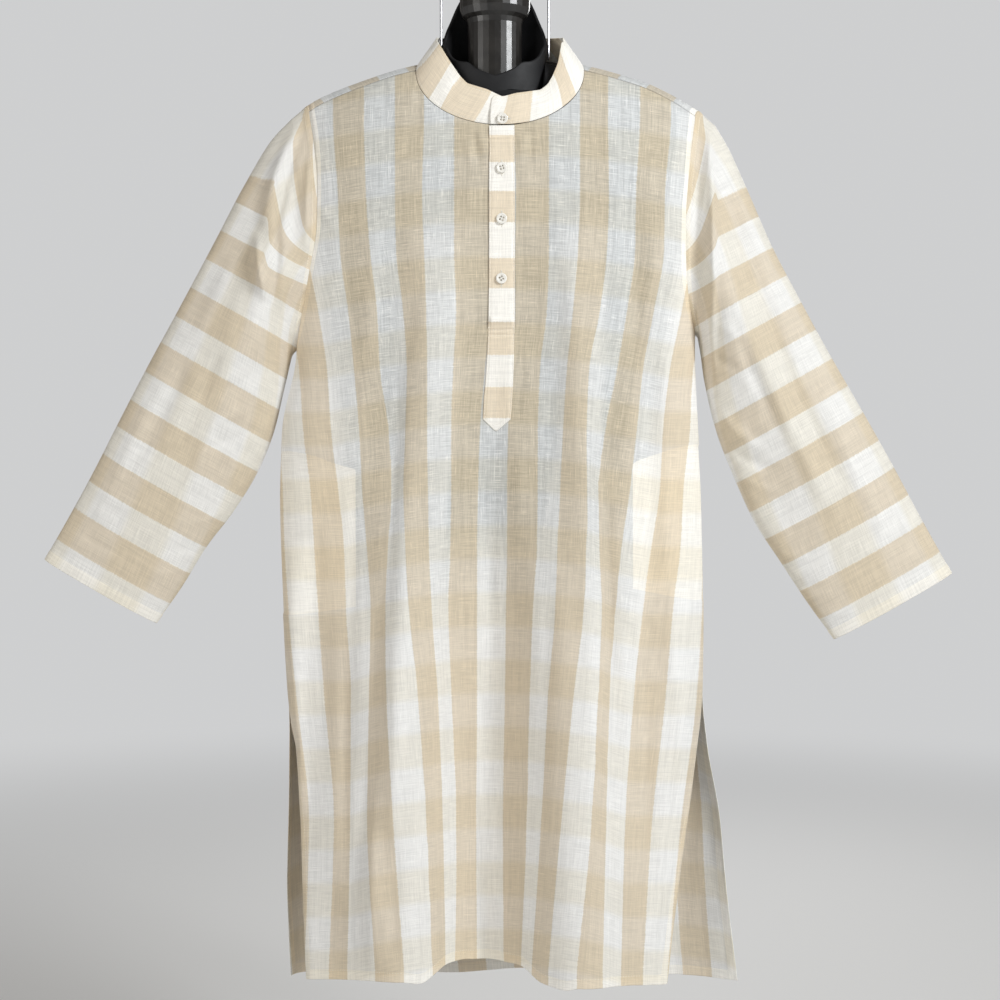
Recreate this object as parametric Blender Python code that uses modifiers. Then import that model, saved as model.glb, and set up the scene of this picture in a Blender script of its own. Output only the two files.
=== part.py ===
"""Kurta tunic on a hanging torso form.

Lengths in the tables are millimetres, objects are in metres, +Z up. The front of the kurta faces
-Y, and its left side in the tables is at -X. Last of all everything moves as one, so that the
origin is the top of the form's bail, where it hangs on its rail.
Every cloth piece is an open sheet on one body surface, thickened by a Solidify modifier."""

import math

import bmesh
import bpy
import numpy as np

MM = 0.001

# Cloth
WALL = 1.2
GAP = 0.3
SIDE_SEAM = 0.8
SHOULDER_SEAM = 0.35
SEAM_DROP = 12.0
COLLAR_WALL = 1.4
PLACKET_WALL = 1.0
PLACKET_LIFT = 0.2

# Body surface of the worn kurta
FRONT_DEPTH = 62.0
BACK_DEPTH = 60.0
FRONT_ARCH = 140.0
BACK_ARCH = 92.0
SIDE_POWER = 3.2
SIDE_ROOT = 2.2
BACK_UNROLL = 60.0
EDGE_HOLD = 1.6
HEM_LEVEL = -1250.0
COLUMN_EASE = 2.2
SLEEVE_BOW = 0.8

# Neck
NECK_POINT_X = 98.0
NECK_FRONT_Z = -247.0
NECK_BACK_Y = 41.0
NECK_CURVE = 0.95
CENTRE_X = 2.0
SLIT_WIDTH = 2.0

# Collar stand
COLLAR_TOP_X = 74.0
COLLAR_TOP_SIDE_Z = -134.0
COLLAR_TOP_FRONT_Z = -215.0
COLLAR_TOP_BACK_Z = -120.0
COLLAR_TOP_FRONT_Y = -57.0
COLLAR_TOP_SIDE_Y = -16.0
COLLAR_TOP_BACK_Y = 37.0
COLLAR_SEAT = 0.45
UNDER_END_X = 14.0
OVER_END_X = -11.0
END_LAP = 2.1
LAP_REACH = 40.0
COLLAR_BOW = 2.0
UNDER_LIFT = 0.9

# Buttons
BUTTON_RADIUS = 6.3
BUTTON_THICK = 2.6
BUTTON_EDGE = 0.6
BUTTON_SIDES = 20

# Torso form
SEAT = 1.4
FORM_FLOOR_Z = -203.0
FORM_HEM_Z = -765.0
RIDGE_HALF = 3.0
FORM_REACH = 222.0
FORM_CROWD = 1.5
STEP_HALF = 0.008
CUP_X = -6.0
CUP_HALF_X = 61.0
CUP_FRONT_Y = -46.0
CUP_BACK_Y = 31.0
CUP_WALL = 4.0
CUP_INSET = 5.0
CUP_SIDES = 32
POST_Y = -8.0
POST_FLATTEN = 0.72
WIRE_RADIUS = 1.5
WIRE_SEAT = 0.6
ARCH_POINTS = 17
BAIL_HALF = 63.2
BAIL_Y = -6.0


def table(columns, *rows):
    """A table as a dictionary of its named columns."""
    return dict(zip(columns.split(), np.array(rows, float).T))


# Top of the shoulders, seen from the front
RIDGE = table(
    "x z",
    (-246, -224),
    (-232, -213),
    (-217, -204),
    (-163, -182),
    (-112, -166),
    (-60, -156),
    (0, -151),
    (60, -156),
    (112, -166),
    (138, -173),
    (168, -182),
    (197, -195),
    (222, -209),
    (244, -222),
    (256, -231),
)

# Where front and back meet at the sides: widest line of the body, then the panels' own edges
# below the slits. depth is the share of the full depth that an open edge stands off the middle.
FRONT_EDGE = table(
    "z left right left_depth right_depth",
    (-150, -246, 250, 0, 0),
    (-350, -243, 240, 0, 0),
    (-498, -240, 230, 0, 0),
    (-594, -257, 234, 0, 0),
    (-675, -260, 238, 0, 0),
    (-793, -256, 240, 0, 0),
    (-887, -251, 239, 0, 0),
    (-930, -247, 236, 0, 0.06),
    (-960, -240, 230, 0.1, 0.25),
    (-1040, -233, 216, 0.4, 0.55),
    (-1140, -229, 201, 0.55, 0.8),
    (-1250, -224, 187, 0.6, 0.95),
)
BACK_EDGE = table(
    "z left right left_depth right_depth",
    (-150, -246, 250, 0, 0),
    (-350, -243, 240, 0, 0),
    (-498, -240, 230, 0, 0),
    (-594, -257, 234, 0, 0),
    (-675, -260, 238, 0, 0),
    (-793, -256, 240, 0, 0),
    (-887, -251, 240, 0, 0),
    (-960, -249, 248, 0, 0.2),
    (-1040, -251, 264, 0.15, 0.5),
    (-1140, -254, 275, 0.25, 0.7),
    (-1250, -250, 289, 0.3, 0.8),
)

# Armhole seams from the shoulder seam (share 0) to the armpit (share 1)
FRONT_ARMHOLE = table(
    "share left right",
    (0, -224, 229),
    (0.15, -216, 223),
    (0.33, -211, 218),
    (0.5, -212, 215),
    (0.7, -222, 216),
    (0.88, -232, 221),
    (1, -240, 230),
)
BACK_ARMHOLE = table(
    "share left right",
    (0, -224, 229),
    (0.12, -229, 237),
    (0.3, -221, 227),
    (0.5, -214, 219),
    (0.75, -219, 218),
    (1, -240, 230),
)
ARMPIT_Z = table("left right", (-498, -479))

# Folds of the skirt: a soft trough (depth over 0) or ridge (under 0) that starts at start and
# is full at full, its middle drifting from x_top to x_hem. half is its half width.
FRONT_FOLDS = table(
    "x_top x_hem half depth start full",
    (-200, -212, 42, 9, -600, -900),
    (-112, -112, 46, -24, -560, -900),
    (-14, -22, 44, 46, -560, -960),
    (84, 92, 52, -34, -560, -960),
    (190, 165, 34, -8, -620, -1000),
)
BACK_FOLDS = table(
    "x_top x_hem half depth start full",
    (-150, -165, 44, -11, -520, -900),
    (-60, -62, 38, 12, -480, -860),
    (30, 36, 42, -12, -520, -900),
    (120, 140, 42, 11, -520, -900),
    (200, 225, 40, -9, -560, -1000),
)
HEM = table(
    "x front back",
    (-240, -1218, -1243),
    (-120, -1220, -1246),
    (-20, -1214, -1248),
    (90, -1226, -1250),
    (190, -1228, -1254),
    (290, -1228, -1258),
)

# Sleeves, section by section: outer is the fold over the arm, inner the underarm seam.
# fore and aft are how far the wall stands off the section's middle.
LEFT_SLEEVE = table(
    "outer_x outer_z inner_x inner_z fore aft",
    (-246, -226, -243, -501, 40, 34),
    (-269, -250, -246, -507, 43, 36),
    (-303, -306, -249, -520, 42, 36),
    (-340, -377, -256, -550, 40, 34),
    (-377, -447, -266, -592, 37, 31),
    (-413, -513, -285, -640, 34, 28),
    (-449, -582, -314, -688, 30, 25),
    (-480, -643, -346, -730, 26, 22),
    (-509, -696, -375, -777, 21, 18),
    (-537, -745, -405, -820, 16, 14),
)
RIGHT_SLEEVE = table(
    "outer_x outer_z inner_x inner_z fore aft",
    (254, -234, 234, -484, 40, 34),
    (269, -259, 237, -503, 43, 36),
    (291, -307, 240, -527, 42, 36),
    (322, -378, 246, -558, 40, 34),
    (352, -436, 256, -596, 37, 31),
    (388, -502, 277, -650, 34, 28),
    (425, -566, 301, -702, 30, 25),
    (460, -628, 331, -748, 26, 22),
    (497, -697, 362, -795, 21, 18),
    (533, -761, 394, -839, 16, 14),
)
# Drag folds of the sleeves: from section start to section end, at a share of the way round
# from the underarm (0) over the front (0.25) and the outer fold (0.5) to the back (0.75).
LEFT_SLEEVE_FOLDS = table(
    "start end turn half depth",
    (0, 4.5, 0.36, 0.07, 7),
    (0.6, 5, 0.24, 0.06, -8),
    (3, 8, 0.17, 0.06, 5),
    (1, 6, 0.7, 0.08, -6),
)
RIGHT_SLEEVE_FOLDS = table(
    "start end turn half depth",
    (0, 4, 0.34, 0.08, 8),
    (0.6, 5, 0.23, 0.06, -9),
    (3, 8, 0.15, 0.06, 5),
    (1, 6, 0.7, 0.08, -6),
)

PLACKET = table(
    "z left right",
    (-251.5, -12.5, 16.5),
    (-320, -12.5, 16.7),
    (-400, -12.6, 16.8),
    (-480, -13.6, 16.5),
    (-530, -16, 15.3),
    (-568, -18.8, 13.7),
    (-583, -19.4, 12.3),
)
PLACKET_TIP = table("x z", (-4.6, -597.5))
PLACKET_UNDER = table("z left right", (-255, -9, 13), (-470, -10, 13))

# Pocket bags hang inside the front from the side seams
LEFT_POCKET = table(
    "x top bottom",
    (-245, -618, -808),
    (-215, -624, -805),
    (-190, -633, -801),
    (-165, -640, -797),
)
RIGHT_POCKET = table(
    "x top bottom",
    (152, -632, -776),
    (175, -624, -781),
    (200, -616, -786),
    (227, -610, -791),
)
PLACKET_BUTTONS = table("x z", (2.0, -297), (2.0, -355), (1.6, -423))
COLLAR_BUTTON_Z = -240.5
COLLAR_BUTTON_SHIFT = 0.8

# Outline and depth of the torso form
FORM = table(
    "z half_left half_right fore aft",
    (-150, 216, 226, 61.5, 58),
    (-215, 215, 225, 61.5, 58),
    (-250, 214, 222, 59.5, 58),
    (-300, 206, 210, 59, 57),
    (-400, 196, 192, 58.5, 55),
    (-500, 180, 176, 56, 50),
    (-600, 164, 160, 48, 44),
    (-700, 158, 154, 40, 38),
    (-740, 154, 150, 34, 32),
    (-765, 142, 138, 24, 22),
)
# Height of the neck cup's rim round the neck, 0 at the front, 0.5 at the back
CUP_RIM = table(
    "turn z",
    (0, -187),
    (0.06, -178),
    (0.12, -166),
    (0.2, -148),
    (0.25, -137),
    (0.32, -112),
    (0.4, -72),
    (0.5, -60),
)
POST_PROFILE = table(
    "r z",
    (24, -60),
    (34, -63),
    (40, -70),
    (41.5, -80),
    (41, -100),
    (38, -108),
    (33, -112),
    (31.5, -118),
    (31.5, -196),
    (33, -202.6),
)

# Mesh density
ARMHOLE_ROWS = 10
FRONT_CROWD = 1.25
BACK_CROWD = 1.5
SKIRT_ROWS = 21
BACK_ARMHOLE_ROWS = 14
BACK_SKIRT_ROWS = 17
SHOULDER_COLUMNS = 7
NECK_COLUMNS = 8
BACK_NECK_COLUMNS = 14
FORM_ROWS = 18
FORM_COLUMNS = 18

CLOTH_COLOUR = (0.80, 0.73, 0.60)
WHITE_CLOTH = (0.86, 0.84, 0.79)
BUTTON_COLOUR = (0.86, 0.83, 0.76)
FORM_COLOUR = (0.012, 0.012, 0.014)
WIRE_COLOUR = (0.70, 0.70, 0.72)


def slopes(xs, ys):
    """Monotone cubic slopes, so that a curve through a table never overshoots its rows."""
    step = np.diff(xs)
    rise = np.diff(ys) / step
    out = np.zeros(len(xs))
    same = rise[:-1] * rise[1:] > 0
    wa = 2 * step[1:] + step[:-1]
    wb = step[1:] + 2 * step[:-1]
    safe_a = np.where(same, rise[:-1], 1.0)
    safe_b = np.where(same, rise[1:], 1.0)
    out[1:-1] = np.where(same, (wa + wb) / (wa / safe_a + wb / safe_b), 0.0)
    out[0] = rise[0]
    out[-1] = rise[-1]
    return out


def along(rows, key, value, x):
    """Column value of a table at x in its column key, by a smooth curve through the rows."""
    order = np.argsort(rows[key])
    xs = rows[key][order]
    ys = rows[value][order]
    m = slopes(xs, ys)
    x = np.clip(np.asarray(x, float), xs[0], xs[-1])
    i = np.clip(np.searchsorted(xs, x) - 1, 0, len(xs) - 2)
    h = xs[i + 1] - xs[i]
    t = (x - xs[i]) / h
    return (
        (1 + 2 * t) * (1 - t) ** 2 * ys[i]
        + t * (1 - t) ** 2 * h * m[i]
        + t * t * (3 - 2 * t) * ys[i + 1]
        + t * t * (t - 1) * h * m[i + 1]
    )


def ease(t):
    t = np.clip(t, 0, 1)
    return t * t * (3 - 2 * t)


def ridge(x):
    return along(RIDGE, "x", "z", x)


def side_share(x, z, edges):
    """Share of the full depth at x, from 1 in the middle to the edge's own share at the side."""
    left = along(edges, "z", "left", z)
    right = along(edges, "z", "right", z)
    middle = (left + right) / 2
    across = np.clip(2 * (x - middle) / (right - left), -1, 1)
    round_off = (1 - np.abs(across) ** SIDE_POWER) ** (1 / SIDE_ROOT)
    open_left = along(edges, "z", "left_depth", z)
    open_right = along(edges, "z", "right_depth", z)
    open_edge = np.where(across < 0, open_left, open_right)
    return open_edge + (1 - open_edge) * round_off


def fold_depth(x, z, folds):
    """Sum of the folds at x and z, over 0 towards the inside."""
    total = 0.0
    for top, hem, half, depth, start, full in zip(*folds.values()):
        grown = ease((start - z) / (start - full))
        middle = top + (hem - top) * np.clip((start - z) / (start - HEM_LEVEL), 0, 1)
        total = total + depth * grown * np.exp(-(((x - middle) / half) ** 2))
    return total


def front_y(x, z):
    """Depth of the front's outer face."""
    drop = np.clip((ridge(x) - z) / FRONT_ARCH, 0, 1)
    arch = np.sqrt(1 - (1 - drop) ** 2)
    share = side_share(x, z, FRONT_EDGE)
    hold = np.clip(share * EDGE_HOLD, 0, 1)
    return -SIDE_SEAM - FRONT_DEPTH * share * arch + hold * fold_depth(x, z, FRONT_FOLDS)


def back_point(x, way):
    """Point of the back's outer face. way is 0 on the shoulder ridge, under 0 in front of it."""
    top = ridge(x)
    turn = np.clip(way / BACK_UNROLL, -math.pi / 2, math.pi / 2)
    below = np.clip(way - BACK_UNROLL * math.pi / 2, 0, None)
    deep = np.where(turn < 0, FRONT_DEPTH, BACK_DEPTH)
    high = np.where(turn < 0, FRONT_ARCH, BACK_ARCH)
    z = top - high * (1 - np.cos(turn)) - below
    share = side_share(x, z, BACK_EDGE)
    fold = np.clip(share * EDGE_HOLD, 0, 1) * fold_depth(x, z, BACK_FOLDS)
    y = deep * share * np.sin(turn) - np.where(turn > 0, fold, 0)
    return x, y + SIDE_SEAM * np.sin(turn), z


def way_of(x, y):
    """The back's way coordinate of a point at x and y near the shoulder."""
    z = ridge(x) - 10
    deep = np.where(y < 0, FRONT_DEPTH, BACK_DEPTH) * side_share(x, z, BACK_EDGE)
    return BACK_UNROLL * np.arcsin(np.clip(y / deep, -1, 1))


def way_down(x, z):
    """The back's way coordinate at height z below the arch."""
    return BACK_UNROLL * math.pi / 2 + ridge(x) - BACK_ARCH - z


def spread(top_x, left, right, share):
    """Column positions: those of the top edge, spread evenly across as share grows to 1."""
    near = np.where(
        top_x < CENTRE_X,
        CENTRE_X + (top_x - CENTRE_X) * (CENTRE_X - left) / (CENTRE_X - top_x[0]),
        CENTRE_X + (top_x - CENTRE_X) * (right - CENTRE_X) / (top_x[-1] - CENTRE_X),
    )
    even = np.linspace(left, right, len(top_x))
    return near + (even - near) * share


def armpit_line(x):
    """Height of the line from armpit to armpit."""
    return np.interp(x, [x[0], x[-1]], [ARMPIT_Z["left"][0], ARMPIT_Z["right"][0]])


def front_top():
    """x and z of the front's top edge: shoulder seam, neckline, shoulder seam."""
    left = np.linspace(FRONT_ARMHOLE["left"][0], -NECK_POINT_X, SHOULDER_COLUMNS + 1)
    right = np.linspace(NECK_POINT_X, FRONT_ARMHOLE["right"][0], SHOULDER_COLUMNS + 1)
    turn = np.linspace(-math.pi / 2, 0, NECK_COLUMNS + 1)
    neck_left = CENTRE_X - SLIT_WIDTH / 2
    neck_left = neck_left + (neck_left + NECK_POINT_X) * np.sin(turn)
    neck_right = CENTRE_X + SLIT_WIDTH / 2
    neck_right = neck_right - (NECK_POINT_X - neck_right) * np.sin(turn[::-1])
    x = np.concatenate([left[:-1], neck_left, neck_right, right[1:]])
    seam_z = ridge(x) - SEAM_DROP - SHOULDER_SEAM
    point_z = ridge(NECK_POINT_X) - SEAM_DROP - SHOULDER_SEAM
    dip = (NECK_FRONT_Z - point_z) * np.cos(turn) ** NECK_CURVE
    start = SHOULDER_COLUMNS
    z = seam_z.copy()
    z[start : start + NECK_COLUMNS + 1] = seam_z[start] + dip
    z[start + NECK_COLUMNS + 1 : start + 2 * NECK_COLUMNS + 2] = seam_z[-start - 1] + dip[::-1]
    return x, z


def front_grid():
    """Rows of points of the front, from the top edge to the hem."""
    top_x, top_z = front_top()
    rows = []
    for i in range(ARMHOLE_ROWS + SKIRT_ROWS + 1):
        if i <= ARMHOLE_ROWS:
            share = (i / ARMHOLE_ROWS) ** FRONT_CROWD
            left = along(FRONT_ARMHOLE, "share", "left", share)
            right = along(FRONT_ARMHOLE, "share", "right", share)
            x = spread(top_x, left, right, 0)
            arm = armpit_line(x)
            z = top_z + (arm - top_z) * share
        else:
            share = (i - ARMHOLE_ROWS) / SKIRT_ROWS
            arm = armpit_line(top_x)
            level = arm + (HEM["front"][1] - arm) * share
            left = along(FRONT_EDGE, "z", "left", level[0])
            right = along(FRONT_EDGE, "z", "right", level[-1])
            x = spread(top_x, left, right, ease(share * COLUMN_EASE))
            z = arm + (along(HEM, "x", "front", x) - arm) * share
        rows.append(np.stack([x, front_y(x, z), z], 1))
    return np.array(rows)


def back_top():
    """x and way of the back's top edge: shoulder seam, back neckline, shoulder seam."""
    left = np.linspace(BACK_ARMHOLE["left"][0], -NECK_POINT_X, SHOULDER_COLUMNS + 1)
    right = np.linspace(NECK_POINT_X, BACK_ARMHOLE["right"][0], SHOULDER_COLUMNS + 1)
    turn = np.linspace(0, math.pi, BACK_NECK_COLUMNS + 1)
    neck_x = -NECK_POINT_X * np.cos(turn)
    seam_turn = math.acos(1 - (SEAM_DROP - SHOULDER_SEAM) / FRONT_ARCH)
    start_way = -BACK_UNROLL * seam_turn
    start_y = -FRONT_DEPTH * math.sin(seam_turn)
    neck_y = start_y + (NECK_BACK_Y - start_y) * np.sin(turn)
    x = np.concatenate([left[:-1], neck_x, right[1:]])
    way = np.full(len(x), start_way)
    inside = slice(SHOULDER_COLUMNS + 1, SHOULDER_COLUMNS + BACK_NECK_COLUMNS)
    way[inside] = way_of(neck_x, neck_y)[1:-1]
    return x, way


def back_grid():
    """Rows of points of the back, from its top edge over the shoulders to the hem."""
    top_x, top_way = back_top()
    rows = []
    for i in range(BACK_ARMHOLE_ROWS + BACK_SKIRT_ROWS + 1):
        if i <= BACK_ARMHOLE_ROWS:
            share = (i / BACK_ARMHOLE_ROWS) ** BACK_CROWD
            left = along(BACK_ARMHOLE, "share", "left", share)
            right = along(BACK_ARMHOLE, "share", "right", share)
            x = spread(top_x, left, right, 0)
            arm = armpit_line(x)
            way = top_way + (way_down(x, arm) - top_way) * share
        else:
            share = (i - BACK_ARMHOLE_ROWS) / BACK_SKIRT_ROWS
            arm = armpit_line(top_x)
            level = arm + (HEM["back"][1] - arm) * share
            left = along(BACK_EDGE, "z", "left", level[0])
            right = along(BACK_EDGE, "z", "right", level[-1])
            x = spread(top_x, left, right, ease(share * COLUMN_EASE))
            way = way_down(x, arm + (along(HEM, "x", "back", x) - arm) * share)
        rows.append(np.stack(back_point(x, way), 1))
    return np.array(rows)


def armhole_loop(front, back, side):
    """Closed loop of seam points of one armhole: up the front from the armpit, down the back."""
    column = 0 if side < 0 else -1
    up = front[: ARMHOLE_ROWS + 1, column][::-1]
    down = back[: BACK_ARMHOLE_ROWS + 1, column]
    loop = np.concatenate([up[1:], down[:-1], [(up[0] + down[-1]) / 2]])
    return np.roll(loop, 1, axis=0)


def sleeve_rings(loop, sections, folds, side):
    """Rings of one sleeve, from the armhole seam to the cuff."""
    count = len(loop)
    top = int(np.argmax(loop[:, 2]))
    rising = np.linspace(0, 0.5, top + 1)
    falling = np.linspace(0.5, 1, count - top + 1)[1:-1]
    turn = np.concatenate([rising, falling])
    low = loop[0]
    high = loop[top]
    height = (loop[:, 2] - low[2]) / (high[2] - low[2])
    straight = low[0] + (high[0] - low[0]) * height
    bow = loop[:, 0] - straight
    oval = (1 - np.cos(2 * math.pi * turn)) / 2
    bulge = np.sin(2 * math.pi * turn)
    rings = [loop + np.array([side * 2 * GAP, 0, 0])]
    stations = len(sections["fore"])
    for j in range(stations):
        blend = ease((j + 1) / 5)
        share = height + (oval - height) * blend
        depth = np.where(bulge > 0, -sections["fore"][j] * bulge, -sections["aft"][j] * bulge)
        y = loop[:, 1] + (depth - loop[:, 1]) * ease((j + 1) / 3)
        x = sections["inner_x"][j] + (sections["outer_x"][j] - sections["inner_x"][j]) * share
        z = sections["inner_z"][j] + (sections["outer_z"][j] - sections["inner_z"][j]) * share
        x = x + bow * (1 - blend) * SLEEVE_BOW
        for start, end, where, half, fold in zip(*folds.values()):
            grown = math.sin(math.pi * min(max((j - start) / (end - start), 0), 1))
            y = y + np.sign(bulge + 1e-9) * fold * grown * np.exp(-(((turn - where) / half) ** 2))
        rings.append(np.stack([x, y, z], 1))
    return np.array(rings)


def collar_grid(front, back):
    """Rows of the collar stand, from its seam to its top edge, the under end first."""
    first = SHOULDER_COLUMNS
    centre = first + NECK_COLUMNS
    turn = np.linspace(math.pi / 2, 0, NECK_COLUMNS + 1)
    back_turn = np.linspace(0, math.pi, BACK_NECK_COLUMNS + 1)[1:-1]
    front_low = front[0, first : centre + 1][::-1]
    right_low = front[0, centre + 1 : centre + NECK_COLUMNS + 2]
    back_low = back[0, first + 1 : first + BACK_NECK_COLUMNS]
    low = np.concatenate([front_low, back_low, right_low[::-1]])

    def front_high(angle, sign):
        side = np.sin(angle)
        drop = np.cos(angle)
        x = CENTRE_X * drop + sign * COLLAR_TOP_X * side
        y = COLLAR_TOP_SIDE_Y + (COLLAR_TOP_FRONT_Y - COLLAR_TOP_SIDE_Y) * drop**0.7
        z = COLLAR_TOP_SIDE_Z + (COLLAR_TOP_FRONT_Z - COLLAR_TOP_SIDE_Z) * drop
        return np.stack([x, y, z], 1)

    rise = np.sin(back_turn)
    back_high = np.stack(
        [
            -COLLAR_TOP_X * np.cos(back_turn),
            COLLAR_TOP_SIDE_Y + (COLLAR_TOP_BACK_Y - COLLAR_TOP_SIDE_Y) * rise,
            COLLAR_TOP_SIDE_Z + (COLLAR_TOP_BACK_Z - COLLAR_TOP_SIDE_Z) * rise,
        ],
        1,
    )
    high = np.concatenate(
        [front_high(turn[::-1], -1), back_high, front_high(turn, 1)]
    )
    low = low + np.array([0, 0, COLLAR_SEAT])
    low, high = lapped(low, high)
    rows = []
    for share in (0, 0.33, 0.67, 1):
        bow = np.array([0, -COLLAR_BOW, 0]) * math.sin(math.pi * share)
        rows.append(low + (high - low) * share + bow)
    return np.array(rows)


def lapped(low, high):
    """The collar's ends carried past the middle, the under end inside the over end."""

    def carried(points, end_x, lift, rise=0.0):
        start = points[0].copy()
        step = np.linspace(0, 1, 4)[1:]
        more = np.repeat(start[None], 3, axis=0)
        more[:, 0] = start[0] + (end_x - start[0]) * step
        more[:, 1] = start[1] + lift * ease(step * 1.4)
        more[:, 2] = start[2] + rise
        return np.concatenate([more[::-1], points])

    low = carried(low, UNDER_END_X, UNDER_LIFT, GAP)
    high = carried(high, UNDER_END_X, UNDER_LIFT)
    reach = np.clip(1 - (low[:, 0] - CENTRE_X) / LAP_REACH, 0, 1)
    order = np.arange(len(low))
    over = order > len(low) / 2
    for points in (low, high):
        points[:, 1] -= np.where(over, END_LAP * ease(reach * 1.5), 0)
    low = carried(low[::-1], OVER_END_X, 0.0)[::-1]
    high = carried(high[::-1], OVER_END_X, 0.0)[::-1]
    return low, high


def normal_at(x, z):
    """Outward normal of the front at x and z."""
    step = 0.5
    dx = (front_y(x + step, z) - front_y(x - step, z)) / (2 * step)
    dz = (front_y(x, z + step) - front_y(x, z - step)) / (2 * step)
    out = np.stack([dx, -np.ones_like(dx), dz], -1)
    return out / np.linalg.norm(out, axis=-1, keepdims=True)


def on_front(front, x, z, lift):
    """Points on the facets of the front's outer face, moved out by lift."""
    base_y = np.empty(x.shape)
    for place in np.ndindex(x.shape):
        row_z = np.array([np.interp(x[place], row[:, 0], row[:, 2]) for row in front])
        row_y = np.array([np.interp(x[place], row[:, 0], row[:, 1]) for row in front])
        base_y[place] = np.interp(-z[place], -row_z, row_y)
    return np.stack([x, base_y, z], -1) + normal_at(x, z) * lift


def placket_grid(front):
    rows = []
    levels = np.linspace(PLACKET["z"][0], PLACKET["z"][-1], 13)
    for level in levels:
        left = along(PLACKET, "z", "left", level)
        right = along(PLACKET, "z", "right", level)
        x = np.linspace(left, right, 5)
        rows.append([x, np.full(5, level)])
    tip_x = PLACKET_TIP["x"][0]
    tip_z = PLACKET_TIP["z"][0]
    rows[-1][0][2] = tip_x
    rows[-1][1] = np.interp(
        rows[-1][0], [rows[-1][0][0], tip_x, rows[-1][0][-1]], [levels[-1], tip_z, levels[-1]]
    )
    x = np.array([row[0] for row in rows])
    z = np.array([row[1] for row in rows])
    return on_front(front, x, z, GAP + PLACKET_LIFT + PLACKET_WALL)


def under_placket_grid(front):
    z = np.linspace(PLACKET_UNDER["z"][0], PLACKET_UNDER["z"][-1], 10)
    left = along(PLACKET_UNDER, "z", "left", z)
    right = along(PLACKET_UNDER, "z", "right", z)
    x = left[:, None] + (right - left)[:, None] * np.linspace(0, 1, 4)[None]
    return on_front(front, x, np.repeat(z[:, None], 4, axis=1), -WALL - GAP - PLACKET_LIFT)


def pocket_grid(front, outline):
    x = np.linspace(outline["x"][0], outline["x"][-1], 7)
    top = along(outline, "x", "top", x)
    bottom = along(outline, "x", "bottom", x)
    share = np.linspace(0, 1, 8)[:, None]
    z = top[None] + (bottom - top)[None] * share
    return on_front(front, np.repeat(x[None], 8, axis=0), z, -WALL - GAP - PLACKET_LIFT)


def material(name, colour, roughness, metallic=0.0):
    made = bpy.data.materials.new(name)
    made.use_nodes = True
    shader = made.node_tree.nodes["Principled BSDF"]
    shader.inputs["Base Color"].default_value = (*colour, 1)
    shader.inputs["Roughness"].default_value = roughness
    shader.inputs["Metallic"].default_value = metallic
    made.diffuse_color = (*colour, 1)
    return made


def add_object(name, data, home, finish):
    made = bpy.data.objects.new(name, data)
    data.materials.append(finish)
    home.objects.link(made)
    return made


def mesh_from(name, points, faces):
    data = bpy.data.meshes.new(name)
    data.from_pydata([tuple(p) for p in np.asarray(points) * MM], [], faces)
    data.validate()
    work = bmesh.new()
    work.from_mesh(data)
    bmesh.ops.recalc_face_normals(work, faces=work.faces)
    work.to_mesh(data)
    work.free()
    data.shade_smooth()
    return data


def grid_faces(rows, columns, closed=False, skip=()):
    faces = []
    wrap = columns if closed else columns - 1
    for i in range(rows - 1):
        for j in range(wrap):
            if (i, j) in skip:
                continue
            k = (j + 1) % columns
            here = i * columns
            below = here + columns
            faces.append((here + j, here + k, below + k, below + j))
    return faces


def cloth(name, grid, wall, home, finish, outward, closed=False, skip=()):
    """An open sheet through the grid's points, thickened inwards."""
    rows, columns = grid.shape[:2]
    faces = grid_faces(rows, columns, closed, skip)
    data = mesh_from(name, grid.reshape(-1, 3), faces)
    middle = data.polygons[len(data.polygons) // 3]
    if np.dot(outward(np.array(middle.center) / MM), middle.normal) < 0:
        data.flip_normals()
    made = add_object(name, data, home, finish)
    thick = made.modifiers.new("wall", "SOLIDIFY")
    thick.thickness = wall * MM
    thick.offset = -1
    thick.use_even_offset = True
    return made


def form_surface_z(x):
    """Top line of the torso form: the cloth's ridge less its wall and seat, floored at the neck."""
    top = ridge(x) - WALL - SEAT
    in_cup = np.abs(x - CUP_X) < CUP_HALF_X - CUP_INSET
    return np.where(in_cup, FORM_FLOOR_Z, top)


def form_body(home, finish):
    """Smooth limbless torso, its shoulders just under the cloth, with a recess under the neck cup."""
    across = -np.cos(np.linspace(0, math.pi, FORM_COLUMNS + 1))
    jump = (CUP_HALF_X - CUP_INSET) / FORM_REACH
    middle = CUP_X / FORM_REACH
    for edge in (middle - jump, middle + jump):
        near = np.argsort(np.abs(across - edge))[:2]
        across[near[0]] = edge - STEP_HALF
        across[near[1]] = edge + STEP_HALF
    across = np.sort(across)
    rings = []
    for i in range(FORM_ROWS + 1):
        share = i / FORM_ROWS
        share = 1 - (1 - share) ** FORM_CROWD
        halves = []
        for face in (-1, 1):
            x = across * FORM_REACH
            for _ in range(4):
                top = form_surface_z(x)
                z = FORM_HEM_Z + (top - FORM_HEM_Z) * share
                left = along(FORM, "z", "half_left", z)
                right = along(FORM, "z", "half_right", z)
                x = np.where(across < 0, across * left, across * right)
            depth_key = "fore" if face < 0 else "aft"
            arch_height = FRONT_ARCH if face < 0 else BACK_ARCH
            line = ridge(x) - WALL - SEAT
            drop = np.clip((line - z) / arch_height, 0, 1)
            arch = np.sqrt(1 - (1 - drop) ** 2)
            reach = (1 - np.abs(across) ** SIDE_POWER) ** (1 / SIDE_ROOT)
            deep = along(FORM, "z", depth_key, z) - WALL - SEAT
            y = face * np.maximum(deep * reach * arch, RIDGE_HALF * (1 - np.abs(across) ** 8))
            halves.append(np.stack([x, y, z], 1))
        ring = np.concatenate([halves[0], halves[1][::-1][1:-1]])
        rings.append(ring)
    return lens_solid("form_body", np.array(rings), home, finish)


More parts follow.
